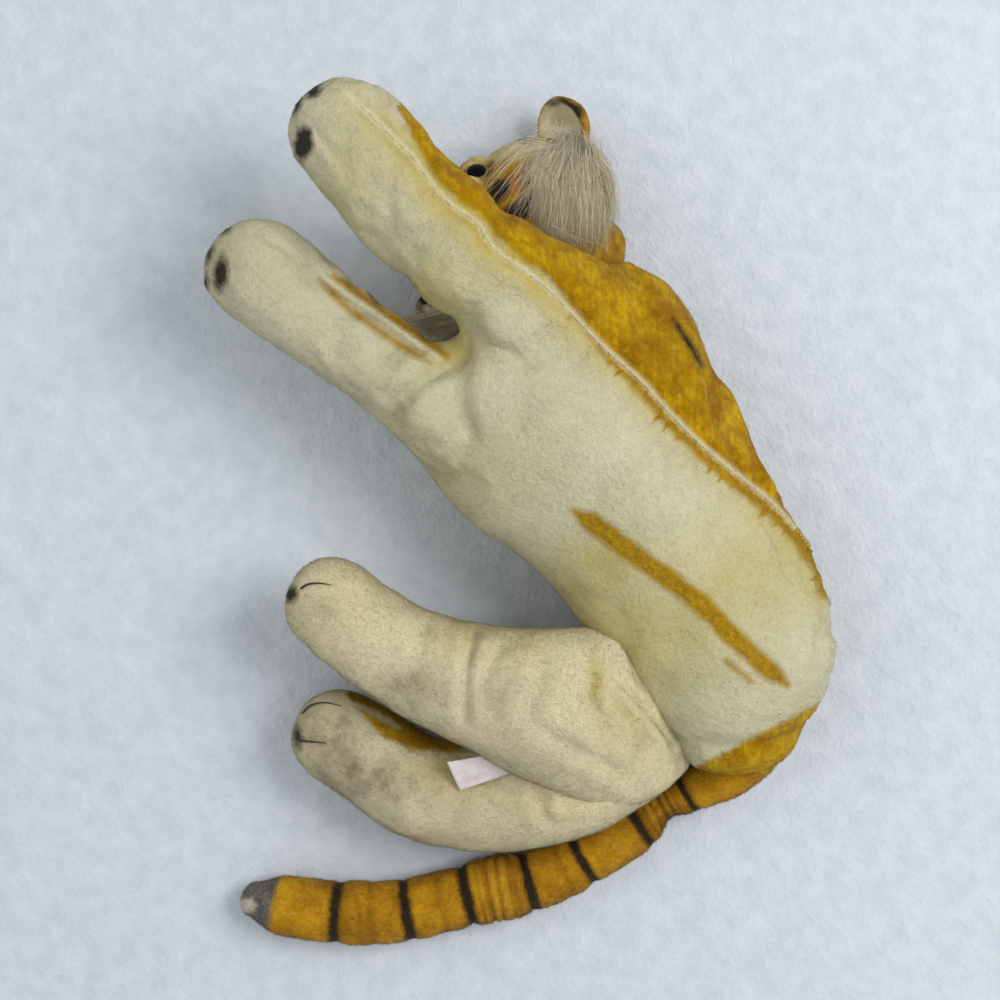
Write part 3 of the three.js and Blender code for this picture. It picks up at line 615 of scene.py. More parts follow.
def joined_weights(skin, forms, reach):
    """How near each point is to a place where two forms meet."""
    trees = [form.tree() for form in forms]
    near = np.array([[tree.find_nearest(p)[3] for tree in trees] for p in skin.points.tolist()])
    second = np.sort(near, axis=1)[:, 1]
    return np.exp(-((second / reach) ** 2))


def stuffed(skin, size, depth, seed=0.0):
    """The soft lumps of the filling."""
    shift = Vector((seed, seed * 0.7, -seed))
    values = np.array([noise.noise(Vector(p) / size + shift) for p in skin.points.tolist()])
    skin.points += skin.normals() * (values * depth)[:, None]
    return skin


def rested(skin, softness=2.0):
    """The underside flattens where it lies on the floor."""
    z = skin.points[:, 2]
    pressed = softness * 0.5 * (1 + np.tanh((z - softness) / softness))
    skin.points[:, 2] = np.maximum(np.where(z < softness, pressed, z), FLOOR_GAP)
    return skin


# ---- Routes in the photograph ------------------------------------------------------


def beside(pixels, route):
    """How far pixels are from a route, which side they are on, and how far along it."""
    route = np.asarray(route, float)
    best = np.full(len(pixels), 1e9)
    side = np.zeros(len(pixels))
    share = np.zeros(len(pixels))
    lengths = np.linalg.norm(np.diff(route, axis=0), axis=1)
    before = np.concatenate([[0], np.cumsum(lengths)])
    for i, length in enumerate(lengths):
        step = route[i + 1] - route[i]
        away = pixels - route[i]
        t = np.clip(away @ step / length**2, 0, 1)
        gap = away - t[:, None] * step
        distance = np.linalg.norm(gap, axis=1)
        closer = distance < best
        best = np.where(closer, distance, best)
        side = np.where(closer, np.sign(step[0] * away[:, 1] - step[1] * away[:, 0]), side)
        share = np.where(closer, (before[i] + t * length) / before[-1], share)
    return best, side, share


def smoothed(route, count=60):
    """A route as a smooth line of many points."""
    return curve(route, np.linspace(0, 1, count))


def eased(share):
    """A share from 0 to 1 that leaves and arrives softly."""
    share = np.clip(share, 0, 1)
    return share * share * (3 - 2 * share)


def fold(skin, route, depth, width, puff=0.0, fade=0.15):
    """A soft fold pressed in along a route, swelling at its sides. Depth and width in millimetres."""
    size = pixel_size(skin.points[:, 2])
    distance, _, share = beside(seen(skin.points), smoothed(route))
    distance *= size
    ends = np.clip(np.minimum(share, 1 - share) / fade, 0, 1) ** 0.7 if fade else 1
    push = -depth * np.exp(-((distance / width) ** 2))
    push += puff * np.exp(-(((distance - 2.2 * width) / (1.3 * width)) ** 2))
    normals = skin.normals()
    skin.points += normals * (push * ends * eased(normals[:, 2] / 0.35))[:, None]
    return skin


def folded(skin, folds):
    """Several folds, one after the other."""
    for route, *press in folds:
        fold(skin, route, *press)
    return skin


def inside(skin, route, half_width, fade=0.0):
    """Millimetres inside a line of a half width drawn along a route, under zero outside it."""
    size = pixel_size(skin.points[:, 2])
    distance, _, share = beside(seen(skin.points), smoothed(route))
    width = half_width * np.clip(np.minimum(share, 1 - share) / fade + 0.35, 0, 1) if fade else half_width
    value = width - distance * size
    return np.where(skin.normals()[:, 2] > -0.1, value, -FAR)


def widened(skin, mark, lines):
    """A mark with lines added, each given by its route, its half width and its fade."""
    for line in lines:
        mark = np.maximum(mark, inside(skin, *line))
    return mark


def spot(skin, centre, half_sizes, turn=0.0):
    """Millimetres inside an oval mark, given by its pixels, under zero outside it."""
    away = seen(skin.points) - np.array(centre)
    turn = math.radians(turn)
    u = away[:, 0] * math.cos(turn) + away[:, 1] * math.sin(turn)
    v = -away[:, 0] * math.sin(turn) + away[:, 1] * math.cos(turn)
    far = np.sqrt((u / half_sizes[0]) ** 2 + (v / half_sizes[1]) ** 2)
    value = (1 - far) * min(half_sizes) * VIEW_SCALE
    return np.where(skin.normals()[:, 2] > -0.3, value, -FAR)


def spots(skin, ovals):
    """A mark of several ovals."""
    return np.maximum.reduce([spot(skin, *oval) for oval in ovals])


def blush(skin, centre, radii, strength=1.0):
    """A soft patch round a pixel, fading outwards."""
    away = (seen(skin.points) - np.array(centre)) / np.array(radii)
    return strength * np.exp(-np.sum(away**2, axis=1)) * (skin.normals()[:, 2] > -0.2)


def blushes(skin, patches):
    """Soft patches together, each given by its pixel, its radii and its strength."""
    return sum(blush(skin, *patch) for patch in patches)


# ---- Making pieces -----------------------------------------------------------------


def meshed(name, points, faces, material, marks, normals=None):
    """A smooth object from points in millimetres, with its marks as attributes."""
    mesh = bpy.data.meshes.new(name)
    mesh.from_pydata((np.asarray(points) * MM).tolist(), [], faces)
    mesh.polygons.foreach_set("use_smooth", np.ones(len(mesh.polygons), bool))
    for mark, values in marks.items():
        if mark != "along":
            attribute = mesh.attributes.new(mark, "FLOAT", "POINT")
            attribute.data.foreach_set("value", np.asarray(values, np.float32))
    mesh.materials.append(material)
    mesh.update()
    if normals is not None:
        mesh.normals_split_custom_set_from_vertices(normals.tolist())
    made = bpy.data.objects.new(name, mesh)
    bpy.context.scene.collection.objects.link(made)
    return made


def metres(point):
    return tuple(float(value) * MM for value in point)


def moved_by(made, bodies, start=None, end=None):
    """A piece rides on one body; one given two bodies, with start and end in millimetres, only has its place
    put into its mesh.
    """
    if len(bodies) == 1:
        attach(made, bodies[0])
    else:
        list(bodies)
        metres(start)
        metres(end)
        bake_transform(made)


# A blade of the pile: half its width and how deep its root stands in the skin, in millimetres,
# how far its tip's height above the skin may sink, and how far it is combed out of line
BLADE_HALF_WIDTH = 0.14
BLADE_ROOT = 0.15
BLADE_THICKNESS = 0.2
BLADE_RISE = 0.25
COMBED_LOOSELY = 0.12
LEAN_LOOSELY = 0.3
BLADE_FACES = ((0, 1, 2), (0, 2, 3), (1, 3, 2), (0, 3, 1))


def pile(name, skin, material, slot, motion, share, length, lift, lie, seed=0):
    """Short hairs of the plush: combed blades that take the marks of the skin they lie on."""
    random = np.random.default_rng(RANDOM_SEED + seed)
    corners = skin.points[skin.faces]
    across = np.cross(corners[:, 2] - corners[:, 0], corners[:, 3] - corners[:, 1])
    area = np.linalg.norm(across, axis=1) / 2
    share *= 1
    chosen = random.choice(len(area), int(area.sum() * share), p=area / area.sum())
    u, v = random.random((2, len(chosen), 1))
    weights = np.stack([(1 - u) * (1 - v), u * (1 - v), u * v, (1 - u) * v], axis=1)
    used = skin.faces[chosen]
    whole = skin.whole_normals if skin.whole_normals is not None else skin.normals()
    root = (skin.points[used] * weights).sum(axis=1)
    out = unit((whole[used] * weights).sum(axis=1))
    lie = np.asarray(lie, float)
    combed = unit(lie - out * (out @ lie)[:, None] + random.normal(0, COMBED_LOOSELY, out.shape))
    lean = unit(out * lift + combed + random.normal(0, LEAN_LOOSELY, out.shape))
    lean -= out * np.minimum(0, np.sum(lean * out, axis=1) - BLADE_RISE)[:, None]
    side = unit(np.cross(lean, out)) * BLADE_HALF_WIDTH
    tip = root + lean * length * random.uniform(0.65, 1.15, (len(chosen), 1))
    tip[:, 2] = np.maximum(tip[:, 2], FLOOR_GAP + 0.03)
    root = root - out * BLADE_ROOT
    points = np.stack([root - side, root + side, tip, root - out * BLADE_THICKNESS], axis=1)
    first = np.arange(len(chosen))[:, None] * 4
    faces = np.vstack([first + face for face in BLADE_FACES]).tolist()
    at_root = {
        mark: np.repeat((np.asarray(values)[used] * weights[:, :, 0]).sum(axis=1), 4)
        for mark, values in skin.marks.items() if mark != "along"
    }
    made = meshed(name, points.reshape(-1, 3), faces, material, at_root, np.repeat(out, 4, axis=0))
    moved_by(made, *motion)
    return made


def covered(name, skin, material, slot, nodes, motion, hair):
    """A padded piece that stands for its nodes, with its motion and its pile."""
    made = meshed(name, skin.points, skin.faces.tolist(), material, skin.marks, skin.whole_normals)
    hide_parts(*nodes)
    moved_by(made, *motion)
    pile(f"{name}_pile", skin, material, slot, motion, **hair)
    return made


# ---- Torso and front legs ----------------------------------------------------------

# Rows of the stuffed forms: x, y, z, half width and half height, in millimetres
TORSO_ROWS = [
    (94, -3.8, 46.8, 58.5, 38.8), (78, -0.8, 47.6, 66.2, 46.6), (56, 2.6, 47.6, 68.3, 49.4),
    (22, 2.8, 46.6, 60.8, 48.4), (-10, 4.6, 44.7, 54.6, 46.5), (-42, 6.9, 43.7, 53.1, 45.1),
    (-68, 12.4, 43.7, 52.4, 44.1), (-88, 22.9, 42.8, 44.5, 40.2), (-102, 33.4, 39.1, 30.1, 30.4),
]
FRONT_LEFT_ROWS = [
    (82, -14, 71.3, 38, 25), (102.7, -10, 78.2, 31.5, 24.5), (118, -5.8, 82.5, 26, 24),
    (131, -0.6, 84.4, 26, 23.4),
    (150, 2.4, 86, 25.3, 23), (168.6, 5, 87.1, 24.8, 22.8), (204, 8.1, 87.1, 24, 22.8),
]
FRONT_RIGHT_ROWS = [
    (77, 48.5, 62.2, 22.3, 22.3), (92.4, 50.7, 64.4, 21.1, 21.1), (111.1, 54.5, 64.4, 20.5, 20.5),
    (147.4, 64.4, 62.2, 21, 21), (184.8, 75.6, 60, 24, 23.3),
]
TAIL_ROWS = [
    (-112, 20, 26.1, 11.6, 11.6), (-121, 28, 23.8, 12, 12), (-123.5, 45, 19.3, 12.2, 12.2),
    (-121.5, 67, 13.2, 10.1, 10.1), (-118.5, 90, 12.5, 12.2, 12.2), (-116, 117, 12.4, 13.1, 13.1),
    (-110, 147, 12.8, 13.6, 13.6), (-98, 173, 12.9, 13.6, 13.6), (-82, 208, 13.2, 14, 14),
    (-62, 234, 13.5, 14.3, 14.3), (-45, 251, 12.4, 13.1, 13.1), (-35.5, 259, 11, 8.4, 8.4),
]

# The seam that runs from the front left paw along the side to the hip, and the edge of
# the gold plush beside it, in the photograph's pixels
SIDE_SEAM = [
    (345, 91), (368, 112), (395, 139), (414, 158), (430, 181), (449, 203), (478, 223), (487, 239),
    (503, 256), (528, 272), (557, 297), (580, 322), (602, 345), (641, 381), (669, 412), (702, 445),
    (735, 473), (769, 500), (797, 531), (819, 564), (826, 592),
]
GOLD_EDGE = [
    (392, 100), (404, 122), (425, 160), (443, 186), (462, 203), (482, 216), (496, 236), (520, 256),
    (547, 277), (566, 299), (584, 320), (604, 342), (643, 379), (671, 410), (704, 443), (737, 471),
    (771, 498), (799, 529), (821, 562), (829, 600),
]
RIGHT_LEG_SEAM = [(318, 268), (326, 277), (353, 297), (378, 314), (407, 335), (440, 359)]
BELLY_STRIPE = [
    (574, 511), (602, 530), (641, 560), (674, 583), (708, 611), (736, 639), (763, 664), (786, 684),
]


# Folds, in the photograph's pixels: route, depth, half width and swelling of the sides in
# millimetres, and the share at each end over which the fold fades
BODY_FOLDS = [
    (SIDE_SEAM, 1.6, 3.2, 1.0, 0.05), (SIDE_SEAM, -1.3, 0.9, 0, 0.03),
    (RIGHT_LEG_SEAM, 1.0, 2.6, 0.6, 0.1), (RIGHT_LEG_SEAM, -0.9, 0.8, 0, 0.1),
    ([(470, 330), (455, 362), (432, 376), (410, 388), (398, 408), (392, 435)], 2.4, 3.4, 1.6, 0.12),
    ([(482, 340), (466, 366), (461, 392), (466, 420), (480, 446)], 1.3, 3.4, 1.0, 0.2),
    ([(426, 344), (418, 364), (404, 380)], 0.7, 2.0, 0.3, 0.2),
    ([(572, 336), (560, 352), (540, 360)], 0.7, 2.4, 0.3, 0.3),
    ([(700, 452), (690, 478), (662, 500), (628, 508)], 0.9, 4.5, 0.6, 0.3),
    ([(770, 506), (748, 528), (714, 540)], 0.8, 3.6, 0.5, 0.3),
    ([(812, 560), (780, 572), (740, 570)], 0.8, 4.0, 0.4, 0.3),
    ([(565, 585), (590, 600), (625, 604)], 0.8, 4.0, 0.5, 0.3),
]
# Puckers that leave the side seam, in pixels: column, row and length
SEAM_PUCKERS = [
    (648, 392, 13), (662, 408, 12), (684, 432, 16), (700, 448, 18), (722, 468, 16), (745, 486, 14),
]
# The seam over the rump, where the gold begins again: a pixel on it and the way across it
RUMP_SEAM = (np.array([731, 748]), np.array([0.462, 0.887]))
# Brown lines on the cream: route, half width in millimetres and fade at the ends
BROWN_LINES = [
    ([(320, 279), (345, 305), (370, 324), (399, 344), (430, 362)], 1.5, 0.2),
    ([(334, 276), (362, 296), (393, 318), (430, 343), (448, 357)], 2.0, 0.15),
    (BELLY_STRIPE, 4.3, 0.1), ([(724, 660), (742, 674), (752, 682)], 1.1, 0.2),
]
# Black on both front paws: pixel, half sizes and turn in degrees
PAW_PADS = [
    ((304, 143), (9, 18), 8), ((313, 90), (10, 7), -35), ((297, 105), (4, 8), 20), ((221, 274), (7.5, 17), 4),
    ((226, 229), (6, 4), -40), ((208, 256), (3.5, 8), 20), ((205, 282), (3, 8), -5),
]
SIDE_STROKES = [
    ([(672, 318), (690, 345), (702, 366)], 1.4, 0.3), ([(812, 548), (824, 566), (829, 590)], 1.4, 0.3),
    ([(752, 430), (764, 452), (772, 470)], 1.4, 0.3),
]
# Soft patches of colour: pixel, radii and strength
BODY_WARM = [
    ((350, 180), (30, 60), 0.35), ((430, 300), (40, 50), 0.5), ((600, 560), (40, 30), 0.45),
    ((660, 640), (80, 60), 0.4), ((720, 580), (70, 60), 0.25), ((760, 560), (50, 60), 0.3),
    ((455, 350), (22, 18), 0.7), ((605, 650), (50, 70), 0.4), ((480, 480), (60, 40), 0.2),
]
# Painted shade: darker patches at the hip crease and on the flank beside the side seam
BODY_PAINTED_SHADE = [((580, 600), (26, 50), 0.4), ((675, 362), (30, 26), 0.5)]
BODY_SOIL = [((300, 120), (30, 50), 0.18), ((225, 265), (25, 40), 0.2)]


def gold_of_body(skin, up, edge):
    """Gold past its edge and on the rump, and round the back, which the photograph doesn't show."""
    distance, side, share = edge
    pixels, size = seen(skin.points), pixel_size(skin.points[:, 2])
    x, y, z = skin.points.T
    gold = np.where(share < 0.01, -6, -side * distance * size)
    on_seam, across = RUMP_SEAM
    rump = (pixels - on_seam) @ across * size
    gold = np.where((pixels[:, 0] > 660) & (x < -60) & (rump > -8), np.maximum(gold, rump), gold)
    left_flank = np.where(x > -84, 6, (44 - z) * 0.8)
    back = np.maximum(-FAR, (38 - z) * 0.8 - np.clip(x - 104, 0, 60) * 0.9)
    left_leg = (76 - z) * 0.5 - np.clip(x - 168, 0, 60) * 0.6
    hidden = np.where((x > 112) & (y < 42), left_leg, np.where(y < -8, left_flank, back))
    return np.maximum(gold, hidden - np.clip(up, 0, 1) * 60)


def brown_of_body(skin, edge, seam):
    """The stain along the side seam with its ragged spikes, the gold's dark rim and the brown lines."""
    size = pixel_size(skin.points[:, 2])
    distance, side, share = seam
    stain = np.interp(share, [0, 0.4, 0.5, 0.6, 0.7, 0.8, 0.9, 1], [-6, -3, 2.0, 4.4, 5.0, 6.0, 5.0, 3.0])
    spikes = np.maximum(0, np.sin(share * 190 + np.sin(share * 57) * 3)) ** 4 * 3.4 * np.sin(share * 31) ** 2
    brown = stain + spikes * (share > 0.45) - distance * size
    brown = np.where(side > 0, brown, 0.6 - distance * size)
    brown = np.where(share < 0.42, -8, brown)
    distance, side, share = edge
    rim = np.interp(share, [0, 0.06, 0.25, 0.36, 0.42], [-4, 0.6, 1.2, 0.4, -4])
    brown = np.maximum(brown, rim - np.abs(distance * size * side + 2.2))
    return widened(skin, brown, BROWN_LINES)


def black_of_body(skin, up):
    """The pads' black, the strokes beside the seam and the stripes over the back."""
    black = widened(skin, spots(skin, PAW_PADS), SIDE_STROKES)
    x, y, z = skin.points.T
    stripes = 2.6 - np.abs((x * 0.9 + np.sin(y * 0.09) * 7) % 34 - 17) + np.sin(y * 0.13 + x * 0.05) * 1.2
    back = (up < -0.15) & (x < 96) & (x > -86)
    return np.where(back, np.maximum(black, stripes - np.clip(z - 30, 0, 40) * 0.35), black)


def cut_body(skin):
    """The skin as torso and legs, cut after its folds and marks, so that these run on over a cut."""
    x, y, _ = skin.centres().T
    left = ((x - 104) * 0.92 + (y + 6) * 0.38 > 0) & (y < 33) & (x > 99)
    left |= (x > 140) & (y < 38)
    right = ((x - 101) * 0.97 + (y - 52) * 0.24 > 0) & (y >= 33)
    nap = {"share": 0.6, "length": 1.1, "lift": 0.45, "lie": (-0.96, 0.28, 0)}
    covered("torso_skin", skin.part(~left & ~right), cream_plush, "cream_plush",
            ("belly_cover", "back_cover_right", "back_cover_left", "torso_stuffing"), (("torso",),), nap)
    for name, chosen, start, end in (
        ("front_left_leg", left, (104, -6, 79), (134, 4, 85)),
        ("front_right_leg", right, (101, 52, 64), (128, 59, 63)),
    ):
        nodes = [f"{name}_{part}" for part in ("inner_cover", "outer_cover", "stuffing")]
        covered(f"{name}_skin", skin.part(chosen), cream_plush, "cream_plush", nodes,
                (("torso", name), start, end), {**nap, "seed": len(name)})


def build_body():
    """Torso and front legs in one skin, folded and marked, then cut where the legs bend."""
    forms = [
        loft(TORSO_ROWS, 64, 60, (0.32, 0.75)),
        loft(FRONT_LEFT_ROWS, 48, 48),
        loft(FRONT_RIGHT_ROWS, 48, 48),
        ball((97, 14, 69), (13, 18, 22)),
    ]
    skin = remeshed(forms, 4.4)
    weights = joined_weights(skin, forms, 7.5)
    skin.relaxed(np.maximum(weights, 0.06), 7)
    sewn = np.zeros(len(skin.points))
    for route in (SIDE_SEAM, RIGHT_LEG_SEAM):
        distance = beside(seen(skin.points), smoothed(route))[0] * pixel_size(skin.points[:, 2])
        sewn = np.maximum(sewn, np.where(skin.normals()[:, 2] > 0, np.exp(-((distance / 3.0) ** 2)), 0))
    settled(skin, sewn)
    skin = finer(skin, 2)
    skin.points += skin.normals() * 0.5
    stuffed(skin, 38, 1.2)
    stuffed(skin, 14, 0.5, 3.1)
    folded(skin, BODY_FOLDS)
    for x, y, length in SEAM_PUCKERS:
        route = [(x, y), (x - 0.55 * length, y + 0.8 * length), (x - 1.2 * length, y + 1.4 * length)]
        fold(skin, route, 0.5, 1.4, 0.3, 0.3)
    rested(skin)

    pixels, size = seen(skin.points), pixel_size(skin.points[:, 2])
    up = evened(skin, skin.normals()[:, 2], 40)
    edge = beside(pixels, smoothed(GOLD_EDGE, 90))
    seam = beside(pixels, smoothed(SIDE_SEAM, 90))
    seam_distance, _, seam_share = seam
    # The pale line of the side seam: the parted pile's pale ground, together with a painted highlight along
    # the raised ridge
    pale = np.where(seam_share < 0.9, 0.9 - seam_distance * size, -5)
    pale = widened(skin, pale, [(RIGHT_LEG_SEAM, 0.8, 0.1)])
    warmth = np.interp(seam_share, [0, 0.08, 0.2, 0.45, 1], [0.2, 0.6, 1.0, 0.8, 0.5])
    marks = {
        "gold": gold_of_body(skin, up, edge),
        "brown": np.where(up > -0.1, brown_of_body(skin, edge, seam), -FAR),
        "pale": np.where(up > 0.12, pale, -FAR),
        "black": black_of_body(skin, up),
    }
    skin.marks = {name: np.clip(values, -FAR, FAR) for name, values in marks.items()}
    skin.marks["warm"] = blushes(skin, BODY_WARM) + np.exp(-((seam_distance / 24) ** 2)) * (up > 0) * warmth
    # Painted shade: darker on slopes that turn away from the top, and in the listed patches
    skin.marks["deep"] = np.clip(1 - up * 1.35, 0, 1) * 0.25 + blushes(skin, BODY_PAINTED_SHADE)
    skin.marks["soil"] = blushes(skin, BODY_SOIL)
    cut_body(skin)
    return skin


# ---- Hind legs ---------------------------------------------------------------------


# The left thigh as it is sewn on: a wide low root along the hip seam that rises to the leg
LEFT_THIGH_ROWS = [
    (-72, 44, 36, 32, 10), (-68, 58, 45.5, 40, 15.5), (-63, 72, 53.5, 42, 24), (-47, 88, 58.5, 37, 27.8),
    (-24, 106, 56, 30.5, 25.5), (-2, 121.3, 52.7, 25.3, 23.4), (16, 131, 51, 22.8, 22),
    (34, 137, 50, 22.2, 21.8),
    (49, 139.8, 49.9, 22.4, 21.8),
]
# The right thigh swells at its root until it touches the left one
RIGHT_THIGH_ROWS = [
    (-90, 66, 32, 20, 22), (-84, 88, 39, 23.5, 27), (-78, 112, 36, 25, 27.5), (-61.5, 142.5, 28.6, 24.6, 24),
    (-41.5, 162.1, 26.6, 24, 23.2), (-16.4, 171.8, 26.6, 22.5, 22.1), (-0.4, 176.6, 26.6, 22.6, 22.1),
]
# Both hind legs in millimetres: the knee, the way along the leg there, and from where to where
# the hip crease bends the thigh
HIND_LEFT_BENDS = ((6, 125.3, 51.7), (0.83, 0.55, -0.06), (-70, 52, 58), (-58, 86, 58))
HIND_RIGHT_BENDS = ((-41.5, 162.1, 26.6), (0.76, 0.64, -0.02), (-97, 68, 32), (-83, 112, 30))
KNEE_BENDS_BEFORE = 14
KNEE_BENDS_AFTER = 12
# Folds, given as the body's are
HIND_LEFT_FOLDS = [
    ([(478, 618), (470, 650), (465, 690), (464, 728)], 2.2, 2.6, 1.0, 0.15),
    ([(506, 640), (488, 668), (474, 700)], 1.4, 2.6, 0.8, 0.2),
    ([(594, 660), (593, 682), (586, 712)], 1.6, 3.0, 0.9, 0.2),
    ([(600, 664), (636, 700), (662, 730), (678, 756)], 1.5, 1.7, 0.8, 0.25),
    ([(586, 668), (618, 700), (646, 734), (664, 764)], 1.1, 2.2, 0.7, 0.3),
    ([(566, 664), (590, 700), (604, 742), (610, 776)], 1.2, 3.4, 0.9, 0.3),
    ([(545, 650), (536, 690), (520, 726)], 1.3, 3.6, 0.9, 0.3),
    ([(524, 716), (560, 742), (604, 764), (640, 782)], 1.3, 3.0, 0.9, 0.3),
    ([(650, 728), (640, 760), (622, 788)], 0.8, 3.2, 0.5, 0.3),
    ([(430, 612), (418, 640), (424, 668)], 1.2, 3.4, 0.8, 0.3),
    ([(560, 690), (520, 706), (490, 722)], 0.9, 4.0, 0.6, 0.3),
]
HIND_RIGHT_FOLDS = [
    ([(535, 776), (540, 800), (548, 826)], 1.6, 2.8, 1.0, 0.2),
    ([(470, 772), (520, 790), (570, 800), (620, 800)], 1.2, 2.6, 0.9, 0.3),
    ([(400, 770), (412, 796), (430, 822)], 1.0, 3.4, 0.7, 0.3),
    ([(470, 790), (455, 812), (452, 838)], 1.0, 3.4, 0.6, 0.2),
]
# Soft patches of colour: pixel, radii and strength
HIND_LEFT_WARM = [
    ((596, 678), (9, 26), 0.8), ((450, 640), (30, 20), 0.35), ((625, 720), (34, 44), 0.35),
    ((520, 650), (50, 22), 0.25), ((340, 600), (40, 40), 0.15),
]
HIND_LEFT_SOIL = [
    ((412, 690), (34, 26), 0.6), ((500, 690), (30, 26), 0.4), ((315, 612), (26, 20), 0.4),
    ((520, 760), (90, 30), 0.25),
]
HIND_RIGHT_WARM = [((450, 770), (40, 26), 0.5), ((560, 800), (60, 30), 0.25)]
HIND_RIGHT_SOIL = [
    ((335, 735), (36, 30), 0.85), ((390, 775), (36, 30), 0.55), ((345, 780), (36, 24), 0.5),
    ((430, 815), (70, 36), 0.3),
]
# The gold on the right paw's upper side: its middle in pixels, and its half width at columns
PAW_GOLD = [(318, 690), (347, 694), (375, 705), (405, 724), (440, 742), (462, 748)]
PAW_GOLD_COLUMNS = [335, 352, 380, 410, 440, 462]
PAW_GOLD_WIDTHS = [-6, 6, 12, 11, 6, 3]


def plump(rows, caps, sides, steps):
    """A hind leg's skin, settled as cloth and made fine."""
    skin = loft(rows, sides, steps, caps, 5)
    settled(skin, np.zeros(len(skin.points)), 0.05, 1.8)
    return finer(skin, 2)


def hind_marks(skin, pad, warm, soil):
    """The marks that both hind legs have: gold beneath, a black pad, shaded sides and soft patches."""
    up = skin.normals()[:, 2]
    bare = np.full(len(up), -FAR)
    return {
        "gold": np.where(up < -0.1, (26 - skin.points[:, 2]) * 0.6 - 2, -FAR),
        "brown": bare,
        "pale": bare,
        "black": np.maximum(spot(skin, *pad), -FAR),
        # Painted shade: darker on the sides that turn away from the top
        "deep": np.clip(1 - up * 1.3, 0, 1) * 0.7,
        "warm": blushes(skin, warm),
        "soil": blushes(skin, soil),
    }


def build_hind_left():
    skin = plump(LEFT_THIGH_ROWS, (0.5, 1.0), 32, 36)
    stuffed(skin, 34, 1.8, 7.7)
    stuffed(skin, 13, 0.7, 1.3)
    folded(skin, HIND_LEFT_FOLDS)
    skin.marks = hind_marks(skin, ((291, 594), (7, 9), 20), HIND_LEFT_WARM, HIND_LEFT_SOIL)
    return rested(skin)


def build_hind_right():
    skin = plump(RIGHT_THIGH_ROWS, (0.8, 1.0), 30, 34)
    stuffed(skin, 34, 1.8, 2.2)
    stuffed(skin, 13, 0.7, 9.4)
    folded(skin, HIND_RIGHT_FOLDS)
    marks = hind_marks(skin, ((298, 738), (5, 11), -8), HIND_RIGHT_WARM, HIND_RIGHT_SOIL)
    pixels, size = seen(skin.points), pixel_size(skin.points[:, 2])
    band = np.interp(pixels[:, 0], PAW_GOLD_COLUMNS, PAW_GOLD_WIDTHS)
    distance = beside(pixels, smoothed(PAW_GOLD))[0] * size
    gold = np.where(skin.normals()[:, 2] > 0, band - distance, -FAR)
    marks["gold"] = np.maximum(marks["gold"], gold * 0.8 - 1.5)
    marks["brown"] = inside(skin, [(405, 738), (430, 743), (456, 747)], 2.6, 0.2)
    marks["pale"] = inside(skin, [(345, 700), (372, 712), (400, 728)], 1.0, 0.2)
    skin.marks = marks
    return rested(skin)


def cut_leg(skin, name, knee, heading, hip_start, hip_end):
    """A hind leg's thigh and paw as two pieces that meet ahead of the knee."""
    heading = unit(np.array(heading, float))
    start = knee - heading * KNEE_BENDS_BEFORE
    end = knee + heading * KNEE_BENDS_AFTER
    beyond = (skin.centres() - start) @ heading > 0
    nap = {"share": 1.3, "length": 1.4, "lift": 0.45, "lie": heading, "seed": len(name)}
    for half, chosen, motion in (
        ("thigh", ~beyond, (("torso", "hindquarters"), hip_start, hip_end)),
        ("paw", beyond, (("hindquarters", f"{name}_paw"), start, end)),
    ):
        nodes = [f"{name}_{half}_{part}" for part in ("inner_cover", "outer_cover", "stuffing")]
        covered(f"{name}_{half}_skin", skin.part(chosen), hind_plush, "hind_plush", nodes, motion, nap)


# ---- Tail --------------------------------------------------------------------------

TAIL_SIDES = 48
TAIL_STEPS = 330
# Black rings round the tail: the pixel at the middle of each and its half width in millimetres
TAIL_RINGS = [
    ((690, 794), 2.0), ((642, 822), 2.3), ((581, 858), 2.3), ((527, 884), 2.4), ((467, 896), 2.6),
    ((409, 912), 2.6), ((340, 906), 2.4),
]
# Where the cover is gathered, where it is pleated, and where its dark tip begins, in pixels
TAIL_GATHERS = (666, 807)
TAIL_PLEATS = (497, 890)
TAIL_TIP = (277, 903)
# Six wrinkles at each of both places: the first one's place from there, the way to the next,
# how they sway round the tail, by how much, and their half width, in millimetres
TAIL_WRINKLES = [(TAIL_GATHERS, -8, 3.3, 1, 1.2, 1.0), (TAIL_PLEATS, -9, 3.6, 1.7, 1.5, 0.9)]
TAIL_DENTS = [(600, 850), (560, 868), (375, 908), (440, 905)]
# The tail's bends: the place in millimetres, the way along the tail there, and how far before
# and after that place it bends
TAIL_CREASE = (np.array([-121.5, 67, 13.2]), np.array([0.06, 0.99, 0]), 9, 10)
TAIL_GATHER = (np.array([-98, 173, 12.9]), np.array([0.42, 0.91, 0]), 12, 14)


def hump(far, width):
    """1 in the middle, and almost 0 from two widths on."""
    return np.exp(-((far / width) ** 2))


